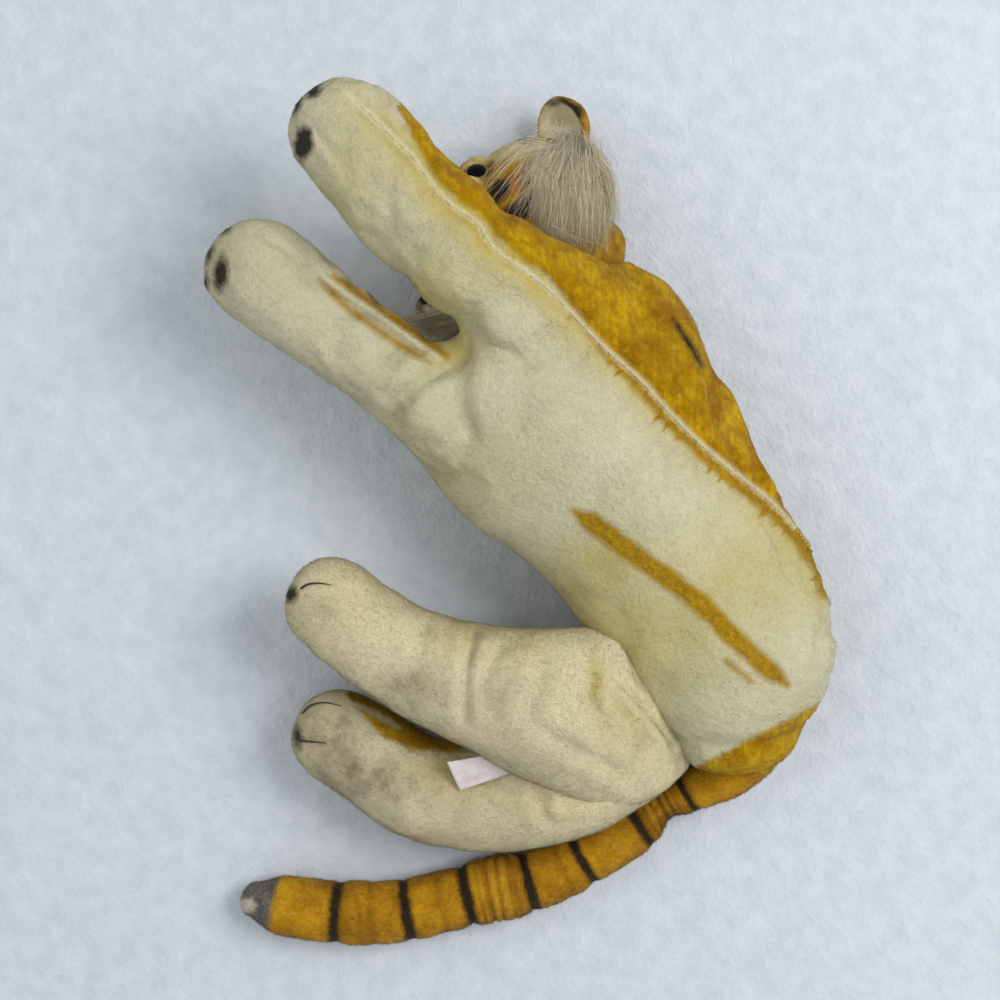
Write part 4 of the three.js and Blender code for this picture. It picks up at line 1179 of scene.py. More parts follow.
def shape_tail(skin, along, rings, at):
    """Rings pull the tail in, wrinkles cross it, and the filling swells between the rings."""
    stuffed(skin, 22, 1.0, 5.5)
    stuffed(skin, 8, 0.45, 2.5)
    normals = skin.normals()
    turn = np.arctan2(skin.points[:, 2] - 13, normals[:, 0])
    gathers, pleats = at(TAIL_GATHERS), at(TAIL_PLEATS)
    push = np.zeros(len(along))
    for place, _ in rings:
        push -= 0.9 * hump(along - place, 3.2)
    for pixel, first, step, shift, sway, width in TAIL_WRINKLES:
        middle = at(pixel)
        for i in range(6):
            place = middle + first + i * step + np.sin(turn * 2 + i * shift) * sway
            push -= 1.2 * hump(along - place, width) * hump(along - middle, 11)
    outer_side = unit(from_view(690, 833, 13) - from_view(666, 803, 13))
    push -= (np.clip(normals @ outer_side, 0, 1) * 4.2 + 0.8) * hump(along - gathers, 7.5)
    for pixel in TAIL_DENTS:
        push -= 0.5 * hump(along - at(pixel) - np.sin(turn * 3 + pixel[0]) * 2, 1.8)
    swell = np.zeros(len(along))
    for (near_end, _), (far_end, _) in zip(rings[1:], rings[2:]):
        middle, half = (near_end + far_end) / 2, abs(far_end - near_end) / 2
        height = 1.9 if abs(middle - pleats) < half / 2 else 0.5
        swell += height * np.sqrt(np.clip(1 - ((along - middle) / half) ** 2, 0, 1))
    skin.points += normals * (push + swell)[:, None]
    rested(skin)
    return push, turn


def cut_tail(skin):
    """The skin as three pieces, cut just before each bend."""
    centres = skin.centres()
    cuts, bends = [], []
    for place, heading, before, after in (TAIL_CREASE, TAIL_GATHER):
        cuts.append((centres - (place - heading * before)) @ heading > 0)
        bends.append((place - heading * before, place + heading * after))
    cuts[0] |= centres[:, 1] > 100
    cuts[1] &= centres[:, 1] > 120
    nap = {"share": 1.3, "length": 1.5, "lift": 0.6, "lie": (0.58, 0.81, 0)}
    for name, chosen, nodes, motion in (
        ("base", ~cuts[0], ("tail_base_cover", "tail_base_stuffing"), (("torso",),)),
        ("middle", cuts[0] & ~cuts[1], ("tail_middle_cover", "tail_middle_stuffing"),
         (("torso", "tail_middle"), *bends[0])),
        ("end", cuts[1], ("tail_end_cover", "tail_tip_cover", "tail_end_stuffing"),
         (("tail_middle", "tail_end"), *bends[1])),
    ):
        covered(f"tail_{name}_skin", skin.part(chosen), tail_plush, "tail_plush", nodes, motion, nap)


def build_tail():
    skin = loft(TAIL_ROWS, TAIL_SIDES, TAIL_STEPS, (1.0, 0.7), 12)
    steps = np.linspace(0, 1, TAIL_STEPS + 1)
    centres = curve([row[:3] for row in TAIL_ROWS], steps)
    lengths = np.concatenate([[0], np.cumsum(np.linalg.norm(np.diff(centres, axis=0), axis=1))])
    share = skin.marks["along"]
    along = np.interp(np.clip(share, 0, 1), steps, lengths)
    along += np.where(share > 1, (share - 1) * 60, 0)
    pixels = seen(centres)

    def at(pixel):
        return lengths[np.argmin(np.linalg.norm(pixels - pixel, axis=1))]

    rings = [(at(pixel), width) for pixel, width in TAIL_RINGS]
    push, turn = shape_tail(skin, along, rings, at)
    black = np.full(len(along), -FAR)
    for i, (place, width) in enumerate(rings):
        tilt = np.sin(turn + i) * 1.2 + np.sin(turn * 3 + i * 2.3) * 0.5
        black = np.maximum(black, width - np.abs(along - place - tilt))
    # Painted shade on the underside, and painted highlight round the gathers and the pleats
    shaded = np.clip(0.4 - skin.normals()[:, 2] * 0.8, 0, 1) * 0.5
    gathered_highlight = hump(along - at(TAIL_GATHERS), 12) * 0.35 + hump(along - at(TAIL_PLEATS), 10) * 0.25
    skin.marks.update({
        "black": black,
        "tip": np.clip(along - at(TAIL_TIP), -FAR, FAR),
        "worn": spot(skin, (247, 906), (9, 8)),
        # Painted shade in the creases and underneath
        "deep": np.clip(-push * 0.45, 0, 1) + shaded,
        # Painted highlight: lighter between the creases and round the gathers and the pleats
        "painted_highlight": np.clip(push + 0.25, -1, 1) * 0.3 + gathered_highlight,
    })
    cut_tail(skin)


# ---- Head --------------------------------------------------------------------------

# The head's middle and the ways in which its nose, its left and its crown lie
HEAD_PLACE = np.array([133, -33.0, 32.0])
NOSEWARD = np.array([0.8022, 0.3911, 0.4512])
LEFTWARD = np.array([0.4392, -0.8984, -0.0022])
CROWNWARD = np.array([0.4045, 0.2, -0.8924])
HEAD_AXES = np.array([NOSEWARD, LEFTWARD, CROWNWARD])
# In the head's own frame: nose, left and crown, half width and half height
HEAD_ROWS = [
    (-26, 0, 0, 26, 20.8), (-12.6, 0, 0.9, 39.1, 29.3), (4.2, 0, 1.3, 42, 31.5), (15, 0, -0.2, 38, 28),
    (23, 0, -2.2, 29.5, 22.5), (29, 0, -2.6, 18.5, 18), (34, 0, -4, 9.6, 12.6), (39.5, 0, -5.8, 7.2, 9.2),
]


# Black strokes of the head that the photograph shows: route in pixels, half width and fade
HEAD_STROKES = [
    ([(480, 206), (489, 200), (498, 191), (507, 182)], 4.0, 0.2),
    ([(503, 219), (514, 213), (526, 206), (538, 197)], 4.4, 0.2),
    ([(601, 180), (605, 188), (609, 198)], 2.2, 0.2),
    ([(462, 158), (457, 168), (458, 178)], 0.9, 0.2),
]
# How deep a seat reaches into the skin, and how high the skin stands round it, in millimetres
SEAT_DEPTH = 12.0
SEAT_RIM = 0.5


def from_head(points):
    """Points in the head's own frame, nose, left and crown, in the model's."""
    return np.asarray(points, float) @ HEAD_AXES + HEAD_PLACE


def to_head(points):
    return (points - HEAD_PLACE) @ HEAD_AXES.T


def eye_place(side):
    """The middle of an eye's base and the way that it looks: the left one shows in the photograph."""
    local = to_head(from_view(477, 175, 45.5))
    facing = unit(np.array([0.66, 0.45, -0.58]))
    mirror = np.array([1, side, 1])
    return from_head(local * mirror), (facing * mirror) @ HEAD_AXES


def seat(skin, middle, facing, radius, reach):
    """The skin flattens under a hard piece, so that it sits on it all round."""
    away = skin.points - middle
    along = away @ facing
    across = np.linalg.norm(away - np.outer(along, facing), axis=1)
    share = eased((reach - across) / (reach - radius))
    share = share * (np.abs(along) < SEAT_DEPTH) * (skin.normals() @ facing > -0.2)
    level = SEAT_RIM * np.exp(-(((across - radius - 1) / 1.4) ** 2)) - 0.4
    skin.points += np.outer((level - along) * share, facing)
    return skin


def black_of_head(skin, ahead, left, crown):
    """Stripes over the crown and the hidden cheek, and the strokes that show beside the eye."""
    side = np.abs(left)
    stripes = [1.5 - np.abs(side - 3.4) - np.clip(np.abs(ahead - 16) - 6, 0, 9)]
    for offset in (0, 9, 17):
        stripes.append(1.8 - np.abs(ahead - (6 - offset) + side * 0.35) - np.clip(side - 20 + offset, 0, 9))
    black = np.where(crown > 8, np.maximum.reduce(stripes), -FAR)
    hidden_cheek = (left < -14) & (crown < 6)
    for place in (15, 5):
        across = np.abs(ahead - place - (crown + 10) * 0.3)
        cheek_stripe = 2.2 - across - np.clip(np.abs(side - 25) - 8, 0, 9)
        black = np.maximum(black, np.where(hidden_cheek, cheek_stripe, -FAR))
    return np.maximum(widened(skin, black, HEAD_STROKES), spot(skin, (527, 141), (7, 4)) - 0.3)


def cream_of_head(skin, ahead, left, crown):
    """Cream round the muzzle, over the brows and above the eye that shows."""
    side = np.abs(left)
    muzzle = 9 - np.sqrt((ahead - 40) ** 2 + side**2 + (crown + 8) ** 2)
    brow = 7 - np.sqrt(((ahead - 22) * 0.6) ** 2 + ((side - 21) * 0.8) ** 2 + (crown - 11) ** 2)
    shown = spots(skin, [((494, 150), (40, 13), -10), ((476, 164), (16, 9), -35)])
    return np.maximum.reduce([muzzle, brow, shown])


def build_head():
    forms = [
        loft(HEAD_ROWS, 56, 40, (0.75, 0.6)),
        ball((33, 0, -12.5), (6, 5.5, 5.5)),
        ball((-34, 0, 2), (22, 24, 18)),
    ]
    socket = to_head(from_view(474, 163, 45)) - unit(np.array([0.72, 0.48, -0.48])) * 7.5
    for side in (1, -1):
        forms.append(ball(socket * (1, side, 1), (9.3, 9, 8.6)))
    skin = remeshed(forms, 3.4)
    skin.points = from_head(skin.points)
    settled(skin, np.zeros(len(skin.points)), 0.03, 0.8, 0.6)
    skin = finer(skin, 2)
    for side in (1, -1):
        seat(skin, *eye_place(side), 5.4, 9.5)
    stuffed(skin, 24, 0.9, 8.1)
    stuffed(skin, 9, 0.35, 4.1)
    rested(skin, 1.5)

    local = to_head(skin.points).T
    skin.marks = {
        "cream": np.clip(cream_of_head(skin, *local), -FAR, FAR),
        "black": black_of_head(skin, *local),
        "orange": spot(skin, (514, 181), (8, 10), 20),
        "lining": np.full(len(skin.points), -FAR),
    }
    nodes = ("head_cover_left", "head_cover_right", "head_stuffing")
    motion = (("torso", "head"), from_head((-50, 0, 0)), from_head((-26, 0, 0)))
    nap = {"share": 1.2, "length": 1.1, "lift": 0.5, "lie": -NOSEWARD}
    covered("head_skin", skin, head_plush, "gold_plush", nodes, motion, nap)
    return skin


# ---- Ears --------------------------------------------------------------------------

# The ears' ways to their tips and their fronts, as image right, image up and towards the
# camera: the left one as the photograph shows it
EAR_TIP = np.array([-0.42, 0.91, 0.0])
EAR_FRONT = np.array([-0.76, -0.22, 0.61])
EAR_RADIUS = 14.5
EAR_RINGS = 26
EAR_SIDES = 56


def from_picture(way):
    """A direction given as image right, image up and towards the camera, in the model."""
    right, up, toward = way
    return np.array([-0.6157 * right + 0.788 * up, -0.788 * right - 0.6157 * up, toward])


def cupped():
    """An ear's two layers, from the middle out: across, towards the tip and to the front."""
    angles = np.arange(EAR_SIDES) / EAR_SIDES * 2 * math.pi
    layers = []
    for front_layer in (True, False):
        for share in (np.arange(EAR_RINGS) + 0.5) / EAR_RINGS:
            u = np.cos(angles) * share * EAR_RADIUS
            v = np.sin(angles) * share * EAR_RADIUS * (1 - 0.1 * np.clip(-np.sin(angles), 0, 1))
            cup = 8.5 * share**2 - 4.5 + 1.2 * np.abs(np.cos(angles)) * share**3
            thick = 0.35 + 1.5 * math.sqrt(1 - share**2) ** 0.6
            if front_layer:
                w = cup + thick * 0.35
            else:
                swell = 0.5 * share * (1 - share**2)
                u, v, w = u * (1 + swell), v * (1 + swell * 0.5), cup - thick * 2.3
            layers.append(np.column_stack([u, v, w]))
    return np.vstack(layers)


def cup_faces():
    """Quads over both layers of an ear, closed in the middle and round the rim."""
    grids = np.arange(EAR_RINGS * EAR_SIDES * 2).reshape(2, EAR_RINGS, EAR_SIDES)
    faces = []
    for grid, turn in zip(grids, (1, -1)):
        after = np.roll(grid, -1, axis=1)
        quads = np.stack([grid[:-1], grid[1:], after[1:], after[:-1]], axis=-1).reshape(-1, 4)
        ring, last, half = grid[0], EAR_SIDES - 1, EAR_SIDES // 2
        strip = [[ring[i], ring[i + 1], ring[last - 1 - i], ring[last - i]] for i in range(half - 1)]
        faces += [quads[:, ::turn], np.array(strip)[:, ::turn]]
    rim, back = grids[0][-1], grids[1][-1]
    faces.append(np.stack([rim, back, np.roll(back, -1), np.roll(rim, -1)], axis=-1))
    return np.vstack(faces)


def build_ear(name, middle, tip, front, nodes):
    """A deep cup of plush: cream inside, gold behind and dark round the rim."""
    tip, front = unit(tip), unit(front - tip * (front @ unit(tip)))
    shape = cupped()
    across = np.outer(shape[:, 0], np.cross(tip, front))
    skin = Skin(middle + across + np.outer(shape[:, 1], tip) + np.outer(shape[:, 2], front), cup_faces())
    share = np.hypot(shape[:, 0] / EAR_RADIUS, shape[:, 1] / EAR_RADIUS)
    front_side = np.arange(len(share)) < EAR_RINGS * EAR_SIDES
    angle = np.arctan2(shape[:, 1], shape[:, 0])
    broken = np.sin(angle * 4 + 0.6) * 1.0 + np.sin(angle * 9) * 0.5
    nearest = np.cos(angle - 0.35)
    edge = 4.4 * nearest - 1.4 + broken * 0.8 - np.abs(share - 0.84) * 11
    behind = nearest * 2 + broken * 0.8 - 2.0 - (1 - share) * 22
    skin.marks = {
        "cream": np.where(front_side, (0.93 - share) * 30, -8),
        "black": np.where(front_side, edge, behind),
        "orange": np.full(len(share), -FAR),
        "lining": np.where(front_side, (0.9 - share) * 30, -FAR),
    }
    stuffed(skin, 9, 0.6, 3.3)
    nap = {"share": 1.2, "length": 0.8, "lift": 0.4, "lie": tip}
    covered(name, skin, head_plush, "gold_plush", nodes, (("head",),), nap)


def build_ears():
    tip, front = (from_picture(way) for way in (EAR_TIP, EAR_FRONT))
    build_ear("ear_left_skin", from_view(567, 127, 23.5), tip, front, ("ear_lining_left", "ear_cover_left"))
    tip, front = (to_head(HEAD_PLACE + way) * (1, -1, 1) @ HEAD_AXES for way in (tip, front))
    low, high = (np.array(corner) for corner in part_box("ear_lining_right"))
    middle = (low + high) / 2 / MM + (4, 1, -9)
    build_ear("ear_right_skin", middle, tip, front, ("ear_lining_right", "ear_cover_right"))


# ---- Strands -----------------------------------------------------------------------


def strands(name, paths, radius, material, nodes, motion, shades=None, sides=3):
    """Fine hairs as thin tapering tubes, in one mesh."""
    points, faces, tone = [], [], []
    for number, path in enumerate(paths):
        path = np.asarray(path, float)
        ahead = unit(np.gradient(path, axis=0))
        side = unit(np.cross(ahead, (0.3, 0.1, 0.95)))
        over = np.cross(ahead, side)
        first, last = len(points), len(path) - 1
        for i in range(last + 1):
            size = radius * (1 - 0.75 * (i / last) ** 2)
            for j in range(sides):
                angle = 2 * math.pi * j / sides
                points.append(path[i] + side[i] * math.cos(angle) * size + over[i] * math.sin(angle) * size)
                tone.append(0.5 if shades is None else shades[number])
        for i in range(last):
            for j in range(sides):
                a = first + i * sides + j
                b = first + i * sides + (j + 1) % sides
                faces.append((a, b, b + sides, a + sides))
        faces.append(tuple(first + j for j in range(sides))[::-1])
        faces.append(tuple(first + last * sides + j for j in range(sides)))
    made = meshed(name, points, faces, material, {"strand": tone})
    if nodes:
        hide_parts(*nodes)
    moved_by(made, *motion)
    return made


def on_skin(tree, column, row):
    """Where the line of sight through a pixel meets a skin, with the way that it faces."""
    eye = Vector(from_view(IMAGE_MIDDLE, IMAGE_MIDDLE, 0.0))
    eye.z = VIEW_HEIGHT
    toward = Vector(from_view(column, row, 0.0)) - eye
    point, normal, _, _ = tree.ray_cast(eye, toward.normalized())
    return point, normal


def above(tree, column, row, lift, level=32.0):
    """A place over a skin, or at a level of its own where the line of sight misses the skin."""
    point, _ = on_skin(tree, column, row)
    return from_view(column, row, (level if point is None else point.z) + lift)


def lock_paths(random, root, middle, tip, count, spread, wave=0.8):
    """A lock of long silky hair: strands from one root that part a little towards their tips."""
    paths = []
    for _ in range(count):
        loose = random.normal(0, 1, 3) * (1, 1, 0.5)
        start = root + random.normal(0, 2.0, 3)
        halfway = middle + loose * spread * 0.7 + random.normal(0, 0.5, 3)
        end = tip + loose * spread + random.normal(0, spread * 0.35, 3)
        quarter = (start + halfway) / 2 + random.normal(0, wave * 0.4, 3) + (0, 0, 1.0)
        late = (halfway + end) / 2 + random.normal(0, wave, 3)
        points = curve([start, quarter, halfway, late, end], np.linspace(0, 1, 7))
        points[:, 2] = np.maximum(points[:, 2], 0.6)
        paths.append(points)
    return paths


# Locks of the left ruff: root, middle and tip in the photograph's pixels, how much the middle
# and the tip rise off the head, the number of strands, and how far their tips part
LEFT_LOCKS = [
    ((558, 146), (524, 150), (487, 191), 7, 0, 16, 2.0),
    ((566, 150), (528, 158), (494, 202), 9, 2, 16, 2.2),
    ((562, 158), (530, 172), (505, 212), 8, 2, 18, 2.4),
    ((572, 164), (538, 186), (516, 216), 8, 2, 16, 2.4),
    ((556, 142), (528, 144), (503, 170), 6, -1, 14, 2.0),
    ((560, 138), (538, 132), (517, 146), 4, -2, 10, 1.6),
    ((552, 150), (538, 160), (512, 186), 6, 0, 14, 2.0),
    ((560, 154), (544, 178), (524, 208), 8, 2, 14, 2.2),
    ((566, 150), (546, 190), (543, 238), 10, 4, 24, 2.2),
    ((572, 148), (556, 196), (552, 240), 11, 5, 30, 2.8),
    ((578, 150), (566, 200), (562, 243), 12, 6, 36, 3.0),
    ((584, 150), (578, 204), (573, 244), 12, 6, 36, 3.0),
    ((590, 154), (590, 204), (585, 246), 11, 5, 34, 2.8),
    ((594, 160), (601, 206), (597, 246), 9, 4, 28, 2.4),
    ((588, 146), (602, 178), (609, 214), 6, 2, 18, 2.0),
    ((592, 158), (608, 198), (612, 238), 5, 3, 16, 1.8),
    ((562, 140), (560, 180), (556, 226), 13, 7, 28, 3.4),
    ((574, 140), (574, 184), (570, 230), 14, 8, 30, 3.6),
    ((584, 142), (588, 188), (584, 234), 13, 7, 28, 3.4),
    ((570, 134), (558, 168), (546, 206), 12, 7, 24, 3.0),
    ((570, 130), (556, 128), (548, 146), 6, 8, 10, 2.6),
    ((562, 134), (548, 128), (538, 150), 6, 7, 10, 2.2),
    ((580, 132), (590, 140), (594, 168), 6, 6, 12, 2.4),
    ((590, 196), (624, 238), (646, 264), 6, 14, 2, 0.8),
    ((592, 168), (572, 222), (597, 250), 14, 10, 9, 3.0),
    ((560, 168), (550, 222), (572, 248), 13, 10, 9, 3.0),
    ((576, 190), (548, 232), (590, 244), 13, 11, 6, 3.0),
]
# Where the combed veil of the left ruff ends
VEIL_EDGE = [(538, 196), (540, 226), (550, 244), (568, 251), (590, 251), (604, 238), (611, 214)]
# Tips of the right ruff's locks that show between the front legs
RIGHT_TIPS = [
    (404, 321), (412, 328), (420, 324), (428, 332), (436, 326), (444, 336), (424, 314), (436, 308),
    (448, 318), (452, 300),
]
# Where the right ruff's hair begins to follow the head, and where it wholly does
RIGHT_RUFF_BEND = (from_view(445, 312, 44), from_view(490, 296, 42))


def lock_of_ruff(random, start, halfway, end, count, *loose):
    """A lock with the shade of each of its strands, all near the shade of the lock."""
    tone = random.uniform(0.1, 0.9)
    paths, shades = [], []
    for path in lock_paths(random, start, halfway, end, count, *loose):
        paths.append(path)
        shades.append(np.clip(tone + random.normal(0, 0.22), 0, 1))
    return paths, shades


def left_ruff(random, tree):
    """Locks that hang from behind the cheek, under a thin combed veil."""
    paths, shades = [], []
    for root, middle, tip, rise, end_rise, count, spread in LEFT_LOCKS:
        point, normal = on_skin(tree, *root)
        if point is None:
            point, normal = from_view(*root, 36), (0, 0, 1)
        start = np.array(point) - np.array(normal) * 0.4
        halfway = above(tree, *middle, 1.2 + rise * 0.4, start[2])
        end = above(tree, *tip, 0.8 + end_rise * 0.2, max(start[2], 3))
        lock = lock_of_ruff(random, start, halfway, end, int(count * 1.3), spread * 1.5, 1.2)
        paths += lock[0]
        shades += lock[1]
    for _ in range(2400):
        turn = random.random()
        parting = np.array((556 + 32 * turn, 156 - 8 * math.sin(turn * math.pi)))
        root = parting + random.normal(0, 1, 2) * (5, 6)
        tip = curve(VEIL_EDGE, [turn])[0] + random.normal(0, 5, 2)
        tip = root + (tip - root) * random.uniform(0.7, 1.04)
        middle = (root + tip) / 2 + ((turn - 0.5) * 24, -3) + random.normal(0, 2, 2)
        rise = random.uniform(0.6, 5)
        ends = ((root, -0.3), (middle, rise + 1.5), (tip, rise))
        start, halfway, end = (above(tree, *pixel, lift) for pixel, lift in ends)
        paths += lock_paths(random, start, halfway, end, 1, 1.2, 1.3)
        shades.append(random.uniform(0, 0.9))
    strands("cheek_ruff_left_hair", paths, 0.1, mohair, ("cheek_ruff_left",), (("head",),), shades)


def right_ruff(random, tree):
    """Locks of the hidden cheek, whose tips show between the front legs."""
    paths, shades = [], []
    for i in range(26):
        local = np.array([random.uniform(-16, 8), -33.0, random.uniform(-18, -4)])
        inner = from_head((local[0] * 0.5, 0, -4))
        point, normal, _, _ = tree.ray_cast(Vector(inner), Vector(from_head(local) - inner).normalized())
        start = np.array(point) - np.array(normal) * 0.4
        tip_pixel = np.array(RIGHT_TIPS[i % len(RIGHT_TIPS)]) + random.normal(0, 4, 2)
        end = from_view(*tip_pixel, random.uniform(42, 49))
        halfway = (start + end) / 2 + np.array(normal) * random.uniform(2, 6)
        lock = lock_of_ruff(random, start, halfway, end, 40, 1.8)
        paths += lock[0]
        shades += lock[1]
    motion = (("torso", "head"), *RIGHT_RUFF_BEND)
    strands("cheek_ruff_right_hair", paths, 0.13, mohair, ("cheek_ruff_right",), motion, shades)


def build_ruffs(head):
    random = np.random.default_rng(RANDOM_SEED)
    tree = head.tree()
    left_ruff(random, tree)
    right_ruff(random, tree)


# Tips of the right whiskers in the gap between the front legs, in pixels
WHISKER_TIPS = [(412, 268), (398, 288), (404, 312), (430, 345), (446, 352)]
# Claw threads: name, the leg's own name, the node that the thread stands for, and its pixels
CLAW_THREADS = [
    ("hind_left_claw_thread", "hind_left", "hind_left_claw_stitch",
     [(302, 589), (309, 585), (320, 584), (332, 586)]),
    ("hind_right_inner_claw_thread", "hind_right", "hind_right_claw_stitch_inner",
     [(304, 714), (311, 707), (324, 704), (342, 707)]),
    ("hind_right_outer_claw_thread", "hind_right", "hind_right_claw_stitch_outer",
     [(298, 740), (308, 741), (318, 742), (328, 743)]),
]
# Seam stitches, in pixels: the way from one to the next, and the length of each
STITCH_STEP = 4.2
STITCH_LENGTH = 3.0
# Past this x, in millimetres, a stitch rides on its leg, and this y parts the left leg from the right
LEG_STITCHES_FROM = 116
BETWEEN_LEGS = 33


def lifted(hit, height):
    """The place at a height over the point that a ray met."""
    return np.array(hit[0]) + np.array(hit[1]) * height


def build_whiskers():
    """Long dark hairs: the right ones curve into the gap between the front legs."""
    random = np.random.default_rng(RANDOM_SEED + 1)
    right, left = [], []
    for i, tip in enumerate(WHISKER_TIPS):
        start = from_head((37 + i * 0.4, -6.0, -7.5 + i * 0.5))
        end = from_view(*tip, 50 - 2 * i)
        right.append((start, (start + end) / 2 + from_picture((-0.3, -0.4, 0.3)) * (8 + i * 2), end))
    for i in range(len(WHISKER_TIPS)):
        start = from_head((37 + i * 0.4, 6.0, -7.5 + i * 0.5))
        middle = start + np.array([9.0, 5.0 + i, -3 - i])
        left.append((start, middle, middle + np.array([5.0 + i, 9.0, -7.0 + random.uniform(-1, 1)])))
    for side, hairs in (("right", right), ("left", left)):
        paths = [curve(hair, np.linspace(0, 1, 16)) for hair in hairs]
        nodes = (f"whiskers_{side}",)
        strands(f"whisker_hairs_{side}", paths, 0.14, dark_hair, nodes, (("head",),))


def build_claws(skins):
    """Black threads on the hind paws."""
    for name, leg, node, route in CLAW_THREADS:
        tree = skins[leg].tree()
        path = [lifted(on_skin(tree, *pixel), 0.9) for pixel in smoothed(route, 14)]
        strands(name, [path], 0.5, black_thread, (node,), ((f"{leg}_paw",),), sides=6)


def build_mouth(head):
    """A stitched line that dips on both sides below the nose."""
    tree = head.tree()
    start = Vector(from_head((30, 0, -6)))
    path = []
    for share in np.linspace(-1, 1, 25):
        drop = -7.0 - 1.8 * abs(math.sin(share * math.pi))
        way = Vector(np.array([12.6, share * 8.5, drop]) @ HEAD_AXES).normalized()
        path.append(lifted(tree.ray_cast(start, way), 0.15))
    strands("mouth_thread", [path], 0.5, black_thread, ("mouth_stitch",), (("head",),), sides=6)


def build_seam_stitches(body):
    """Pale stitches over both seams, in one piece for each body that they ride on."""
    random = np.random.default_rng(RANDOM_SEED + 2)
    tree = body.tree()
    groups = {"torso": [], "front_left_leg": [], "front_right_leg": []}
    for route in (smoothed(SIDE_SEAM, 400), smoothed(RIGHT_LEG_SEAM, 120)):
        lengths = np.concatenate([[0], np.cumsum(np.linalg.norm(np.diff(route, axis=0), axis=1))])
        for place in np.arange(4, lengths[-1] - 4, STITCH_STEP):
            here, there = (
                np.array([np.interp(end, lengths, route[:, i]) for i in (0, 1)])
                for end in (place, place + STITCH_LENGTH)
            )
            stitch = []
            for share, lift in ((0, -0.1), (0.5, 0.22), (1, -0.1)):
                hit = on_skin(tree, *(here + (there - here) * share + random.normal(0, 0.25, 2)))
                if hit[0] is None:
                    break
                stitch.append(lifted(hit, lift))
            else:
                x, y, _ = stitch[1]
                leg = "front_left_leg" if y < BETWEEN_LEGS else "front_right_leg"
                groups["torso" if x < LEG_STITCHES_FROM else leg].append(stitch)
    for rider, paths in groups.items():
        strands(f"{rider}_seam_stitches", paths, 0.3, pale_thread, (), ((rider,),), sides=4)


# ---- Small hard pieces, shaped as by hand ------------------------------------------


def place_of(facing, at):
    """The matrix that stands a piece on a point, its own Z along facing."""
    facing = Vector(facing).normalized()
    return Matrix.Translation(Vector(at)) @ facing.to_track_quat("Z", "Y").to_matrix().to_4x4()


def shaped(name, material, nodes, body, place):
    """Ends the shaping of the active piece: its place goes into its mesh."""
    made = bpy.context.object
    made.name = name
    made.data.name = name
    made.data.transform(place)
    made.data.materials.clear()
    made.data.materials.append(material)
    made.select_set(False)
    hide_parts(*nodes)
    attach(made, body)
    return made


EYE_RADIUS = 0.005


def build_eye(side, sign):
    """A glass eye: a flattened dome, black with a pale ring near its rim."""
    middle, facing = eye_place(sign)
    bpy.ops.object.select_all(action="DESELECT")
    bpy.ops.mesh.primitive_uv_sphere_add(segments=48, ring_count=24, radius=EYE_RADIUS)
    bpy.ops.object.mode_set(mode="EDIT")
    bpy.ops.mesh.select_all(action="SELECT")
    bpy.ops.mesh.bisect(plane_co=(0, 0, -0.0004), plane_no=(0, 0, 1), clear_inner=True, use_fill=True)
    bpy.ops.mesh.select_all(action="SELECT")
    bpy.ops.transform.resize(value=(1, 1, 0.5))
    bpy.ops.object.mode_set(mode="OBJECT")
    eye = bpy.context.object
    bpy.ops.object.shade_smooth_by_angle(angle=math.radians(40))
    for modifier in list(eye.modifiers):
        bpy.ops.object.modifier_apply(modifier=modifier.name)
    rim = eye.data.attributes.new("rim", "FLOAT", "POINT")
    for vertex, value in zip(eye.data.vertices, rim.data):
        share = math.hypot(vertex.co.x, vertex.co.y) / EYE_RADIUS
        value.value = min(1, max(0, (share - 0.9) / 0.04)) * (1 if share < 0.99 else 0.5)
    place = place_of(facing, (middle + facing * 0.3) * MM)
    shaped(f"eye_{side}_glass", eye_glass, (f"eye_{side}",), "head", place)


def build_nose():
    """A soft stitched nose: a rounded triangle with two nostril dents."""
    low, high = (Vector(corner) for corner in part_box("nose"))
    middle = (low + high) / 2
    bpy.ops.object.select_all(action="DESELECT")
    bpy.ops.mesh.primitive_cube_add(size=0.01)
    bpy.ops.object.mode_set(mode="EDIT")
    bpy.ops.mesh.select_all(action="SELECT")
    bpy.ops.transform.resize(value=(1.0, 0.8, 0.6))
    bpy.ops.mesh.subdivide(number_cuts=3, smoothness=1.0)
    bpy.ops.object.mode_set(mode="OBJECT")
    nose = bpy.context.object
    for vertex in nose.data.vertices:
        x, y, z = vertex.co
        vertex.co.x = x * (0.72 + 0.28 * (y / 0.0043 + 1) / 2)
        dent = math.exp(-(((abs(x) - 0.003) / 0.0016) ** 2 + ((y + 0.0016) / 0.0014) ** 2))
        vertex.co.z = z - 0.0011 * dent * (z > 0)
    modifier = nose.modifiers.new("soft", "SUBSURF")
    modifier.levels = modifier.render_levels = 2
    bpy.ops.object.modifier_apply(modifier=modifier.name)
    bpy.ops.object.shade_smooth()
    out = Vector(unit(NOSEWARD + CROWNWARD * 0.22))
    over = out.cross(Vector(-LEFTWARD)).normalized()
    turned = Matrix((over.cross(out), over, out)).transposed().to_4x4()
    shaped("nose_felt", nose_felt, ("nose",), "head", Matrix.Translation(middle) @ turned)


# The care label's flat size in metres, and its corners as it lies: over its top edge and back
LABEL_WIDTH = 0.026
LABEL_HEIGHT = 0.017
LABEL_CORNERS = [
    from_view(447, 762, 55.5), from_view(500, 752, 57.5), from_view(519, 770, 57.0),
    from_view(460, 790, 52.0),
]


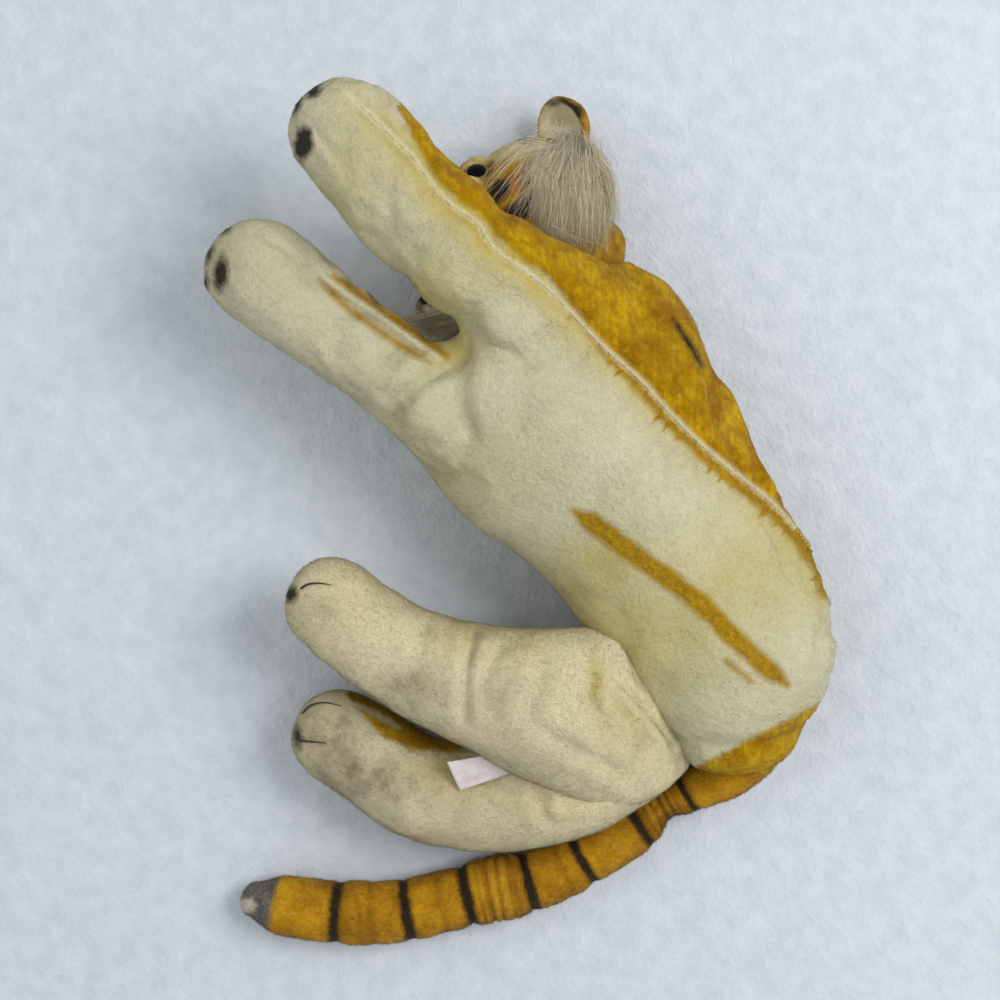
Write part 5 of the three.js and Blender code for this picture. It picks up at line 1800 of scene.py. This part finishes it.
def build_label():
    """The bare care label, a woven ribbon that curls a little at its free end."""
    bpy.ops.object.select_all(action="DESELECT")
    bpy.ops.mesh.primitive_grid_add(x_subdivisions=26, y_subdivisions=16, size=1)
    bpy.ops.object.mode_set(mode="EDIT")
    bpy.ops.mesh.select_all(action="SELECT")
    bpy.ops.transform.resize(value=(LABEL_WIDTH, LABEL_HEIGHT, 1))
    bpy.ops.object.mode_set(mode="OBJECT")
    label = bpy.context.object
    top_left, top_right, low_right, low_left = LABEL_CORNERS
    for vertex in label.data.vertices:
        u = vertex.co.x / LABEL_WIDTH + 0.5
        v = vertex.co.y / LABEL_HEIGHT + 0.5
        top = top_left * (1 - u) + top_right * u
        bottom = low_left * (1 - u) + low_right * u
        point = top * (1 - v) + bottom * v
        point[2] += 1.1 * math.sin(u * 3.0) + 0.5 * math.sin(v * 3.1) * (1 - u)
        vertex.co = Vector(point) * MM
    modifier = label.modifiers.new("cloth", "SOLIDIFY")
    modifier.thickness = 0.00035
    bpy.ops.object.modifier_apply(modifier=modifier.name)
    bpy.ops.object.shade_smooth()
    made = shaped("care_label_ribbon", ribbon, ("care_label",), "hindquarters", Matrix.Identity(4))


# ---- The floor and the light -------------------------------------------------------

# Name, place in metres, size in metres and power in watts
LAMPS = [("overhead", (-0.28, -0.75, 1.15), 0.7, 12.5), ("fill", (0.6, 0.7, 1.2), 1.2, 4.0)]
LIT_PLACE = Vector((0.04, 0.05, 0.05))


def build_studio():
    bpy.ops.object.select_all(action="DESELECT")
    bpy.ops.mesh.primitive_plane_add(size=6)
    ground = bpy.context.object
    ground.name = "ground"
    ground.data.materials.append(floor_finish())
    world = bpy.data.worlds.new("studio")
    bpy.context.scene.world = world
    world.use_nodes = True
    background = world.node_tree.nodes["Background"]
    background.inputs[0].default_value = (0.93, 0.97, 1.0, 1)
    background.inputs[1].default_value = 0.52
    for name, place, size, power in LAMPS:
        data = bpy.data.lights.new(name, "AREA")
        data.size = size
        data.energy = power
        lamp = bpy.data.objects.new(name, data)
        lamp.location = place
        lamp.rotation_euler = (LIT_PLACE - Vector(place)).to_track_quat("-Z", "Y").to_euler()
        bpy.context.scene.collection.objects.link(lamp)
    bpy.context.scene.view_settings.view_transform = "Standard"


body_skin = build_body()
hind_left_skin = build_hind_left()
hind_right_skin = build_hind_right()
cut_leg(hind_left_skin, "hind_left", *HIND_LEFT_BENDS)
cut_leg(hind_right_skin, "hind_right", *HIND_RIGHT_BENDS)
build_tail()
head_skin = build_head()
build_ears()
build_ruffs(head_skin)
build_whiskers()
build_claws({"hind_left": hind_left_skin, "hind_right": hind_right_skin})
build_mouth(head_skin)
build_seam_stitches(body_skin)
build_eye("left", 1)
build_eye("right", -1)
build_nose()
build_label()
for washer in ("eye_washer_left", "eye_washer_right"):
    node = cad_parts[washer]
    for place in node.material_slots:
        place.material = washer_steel
build_studio()
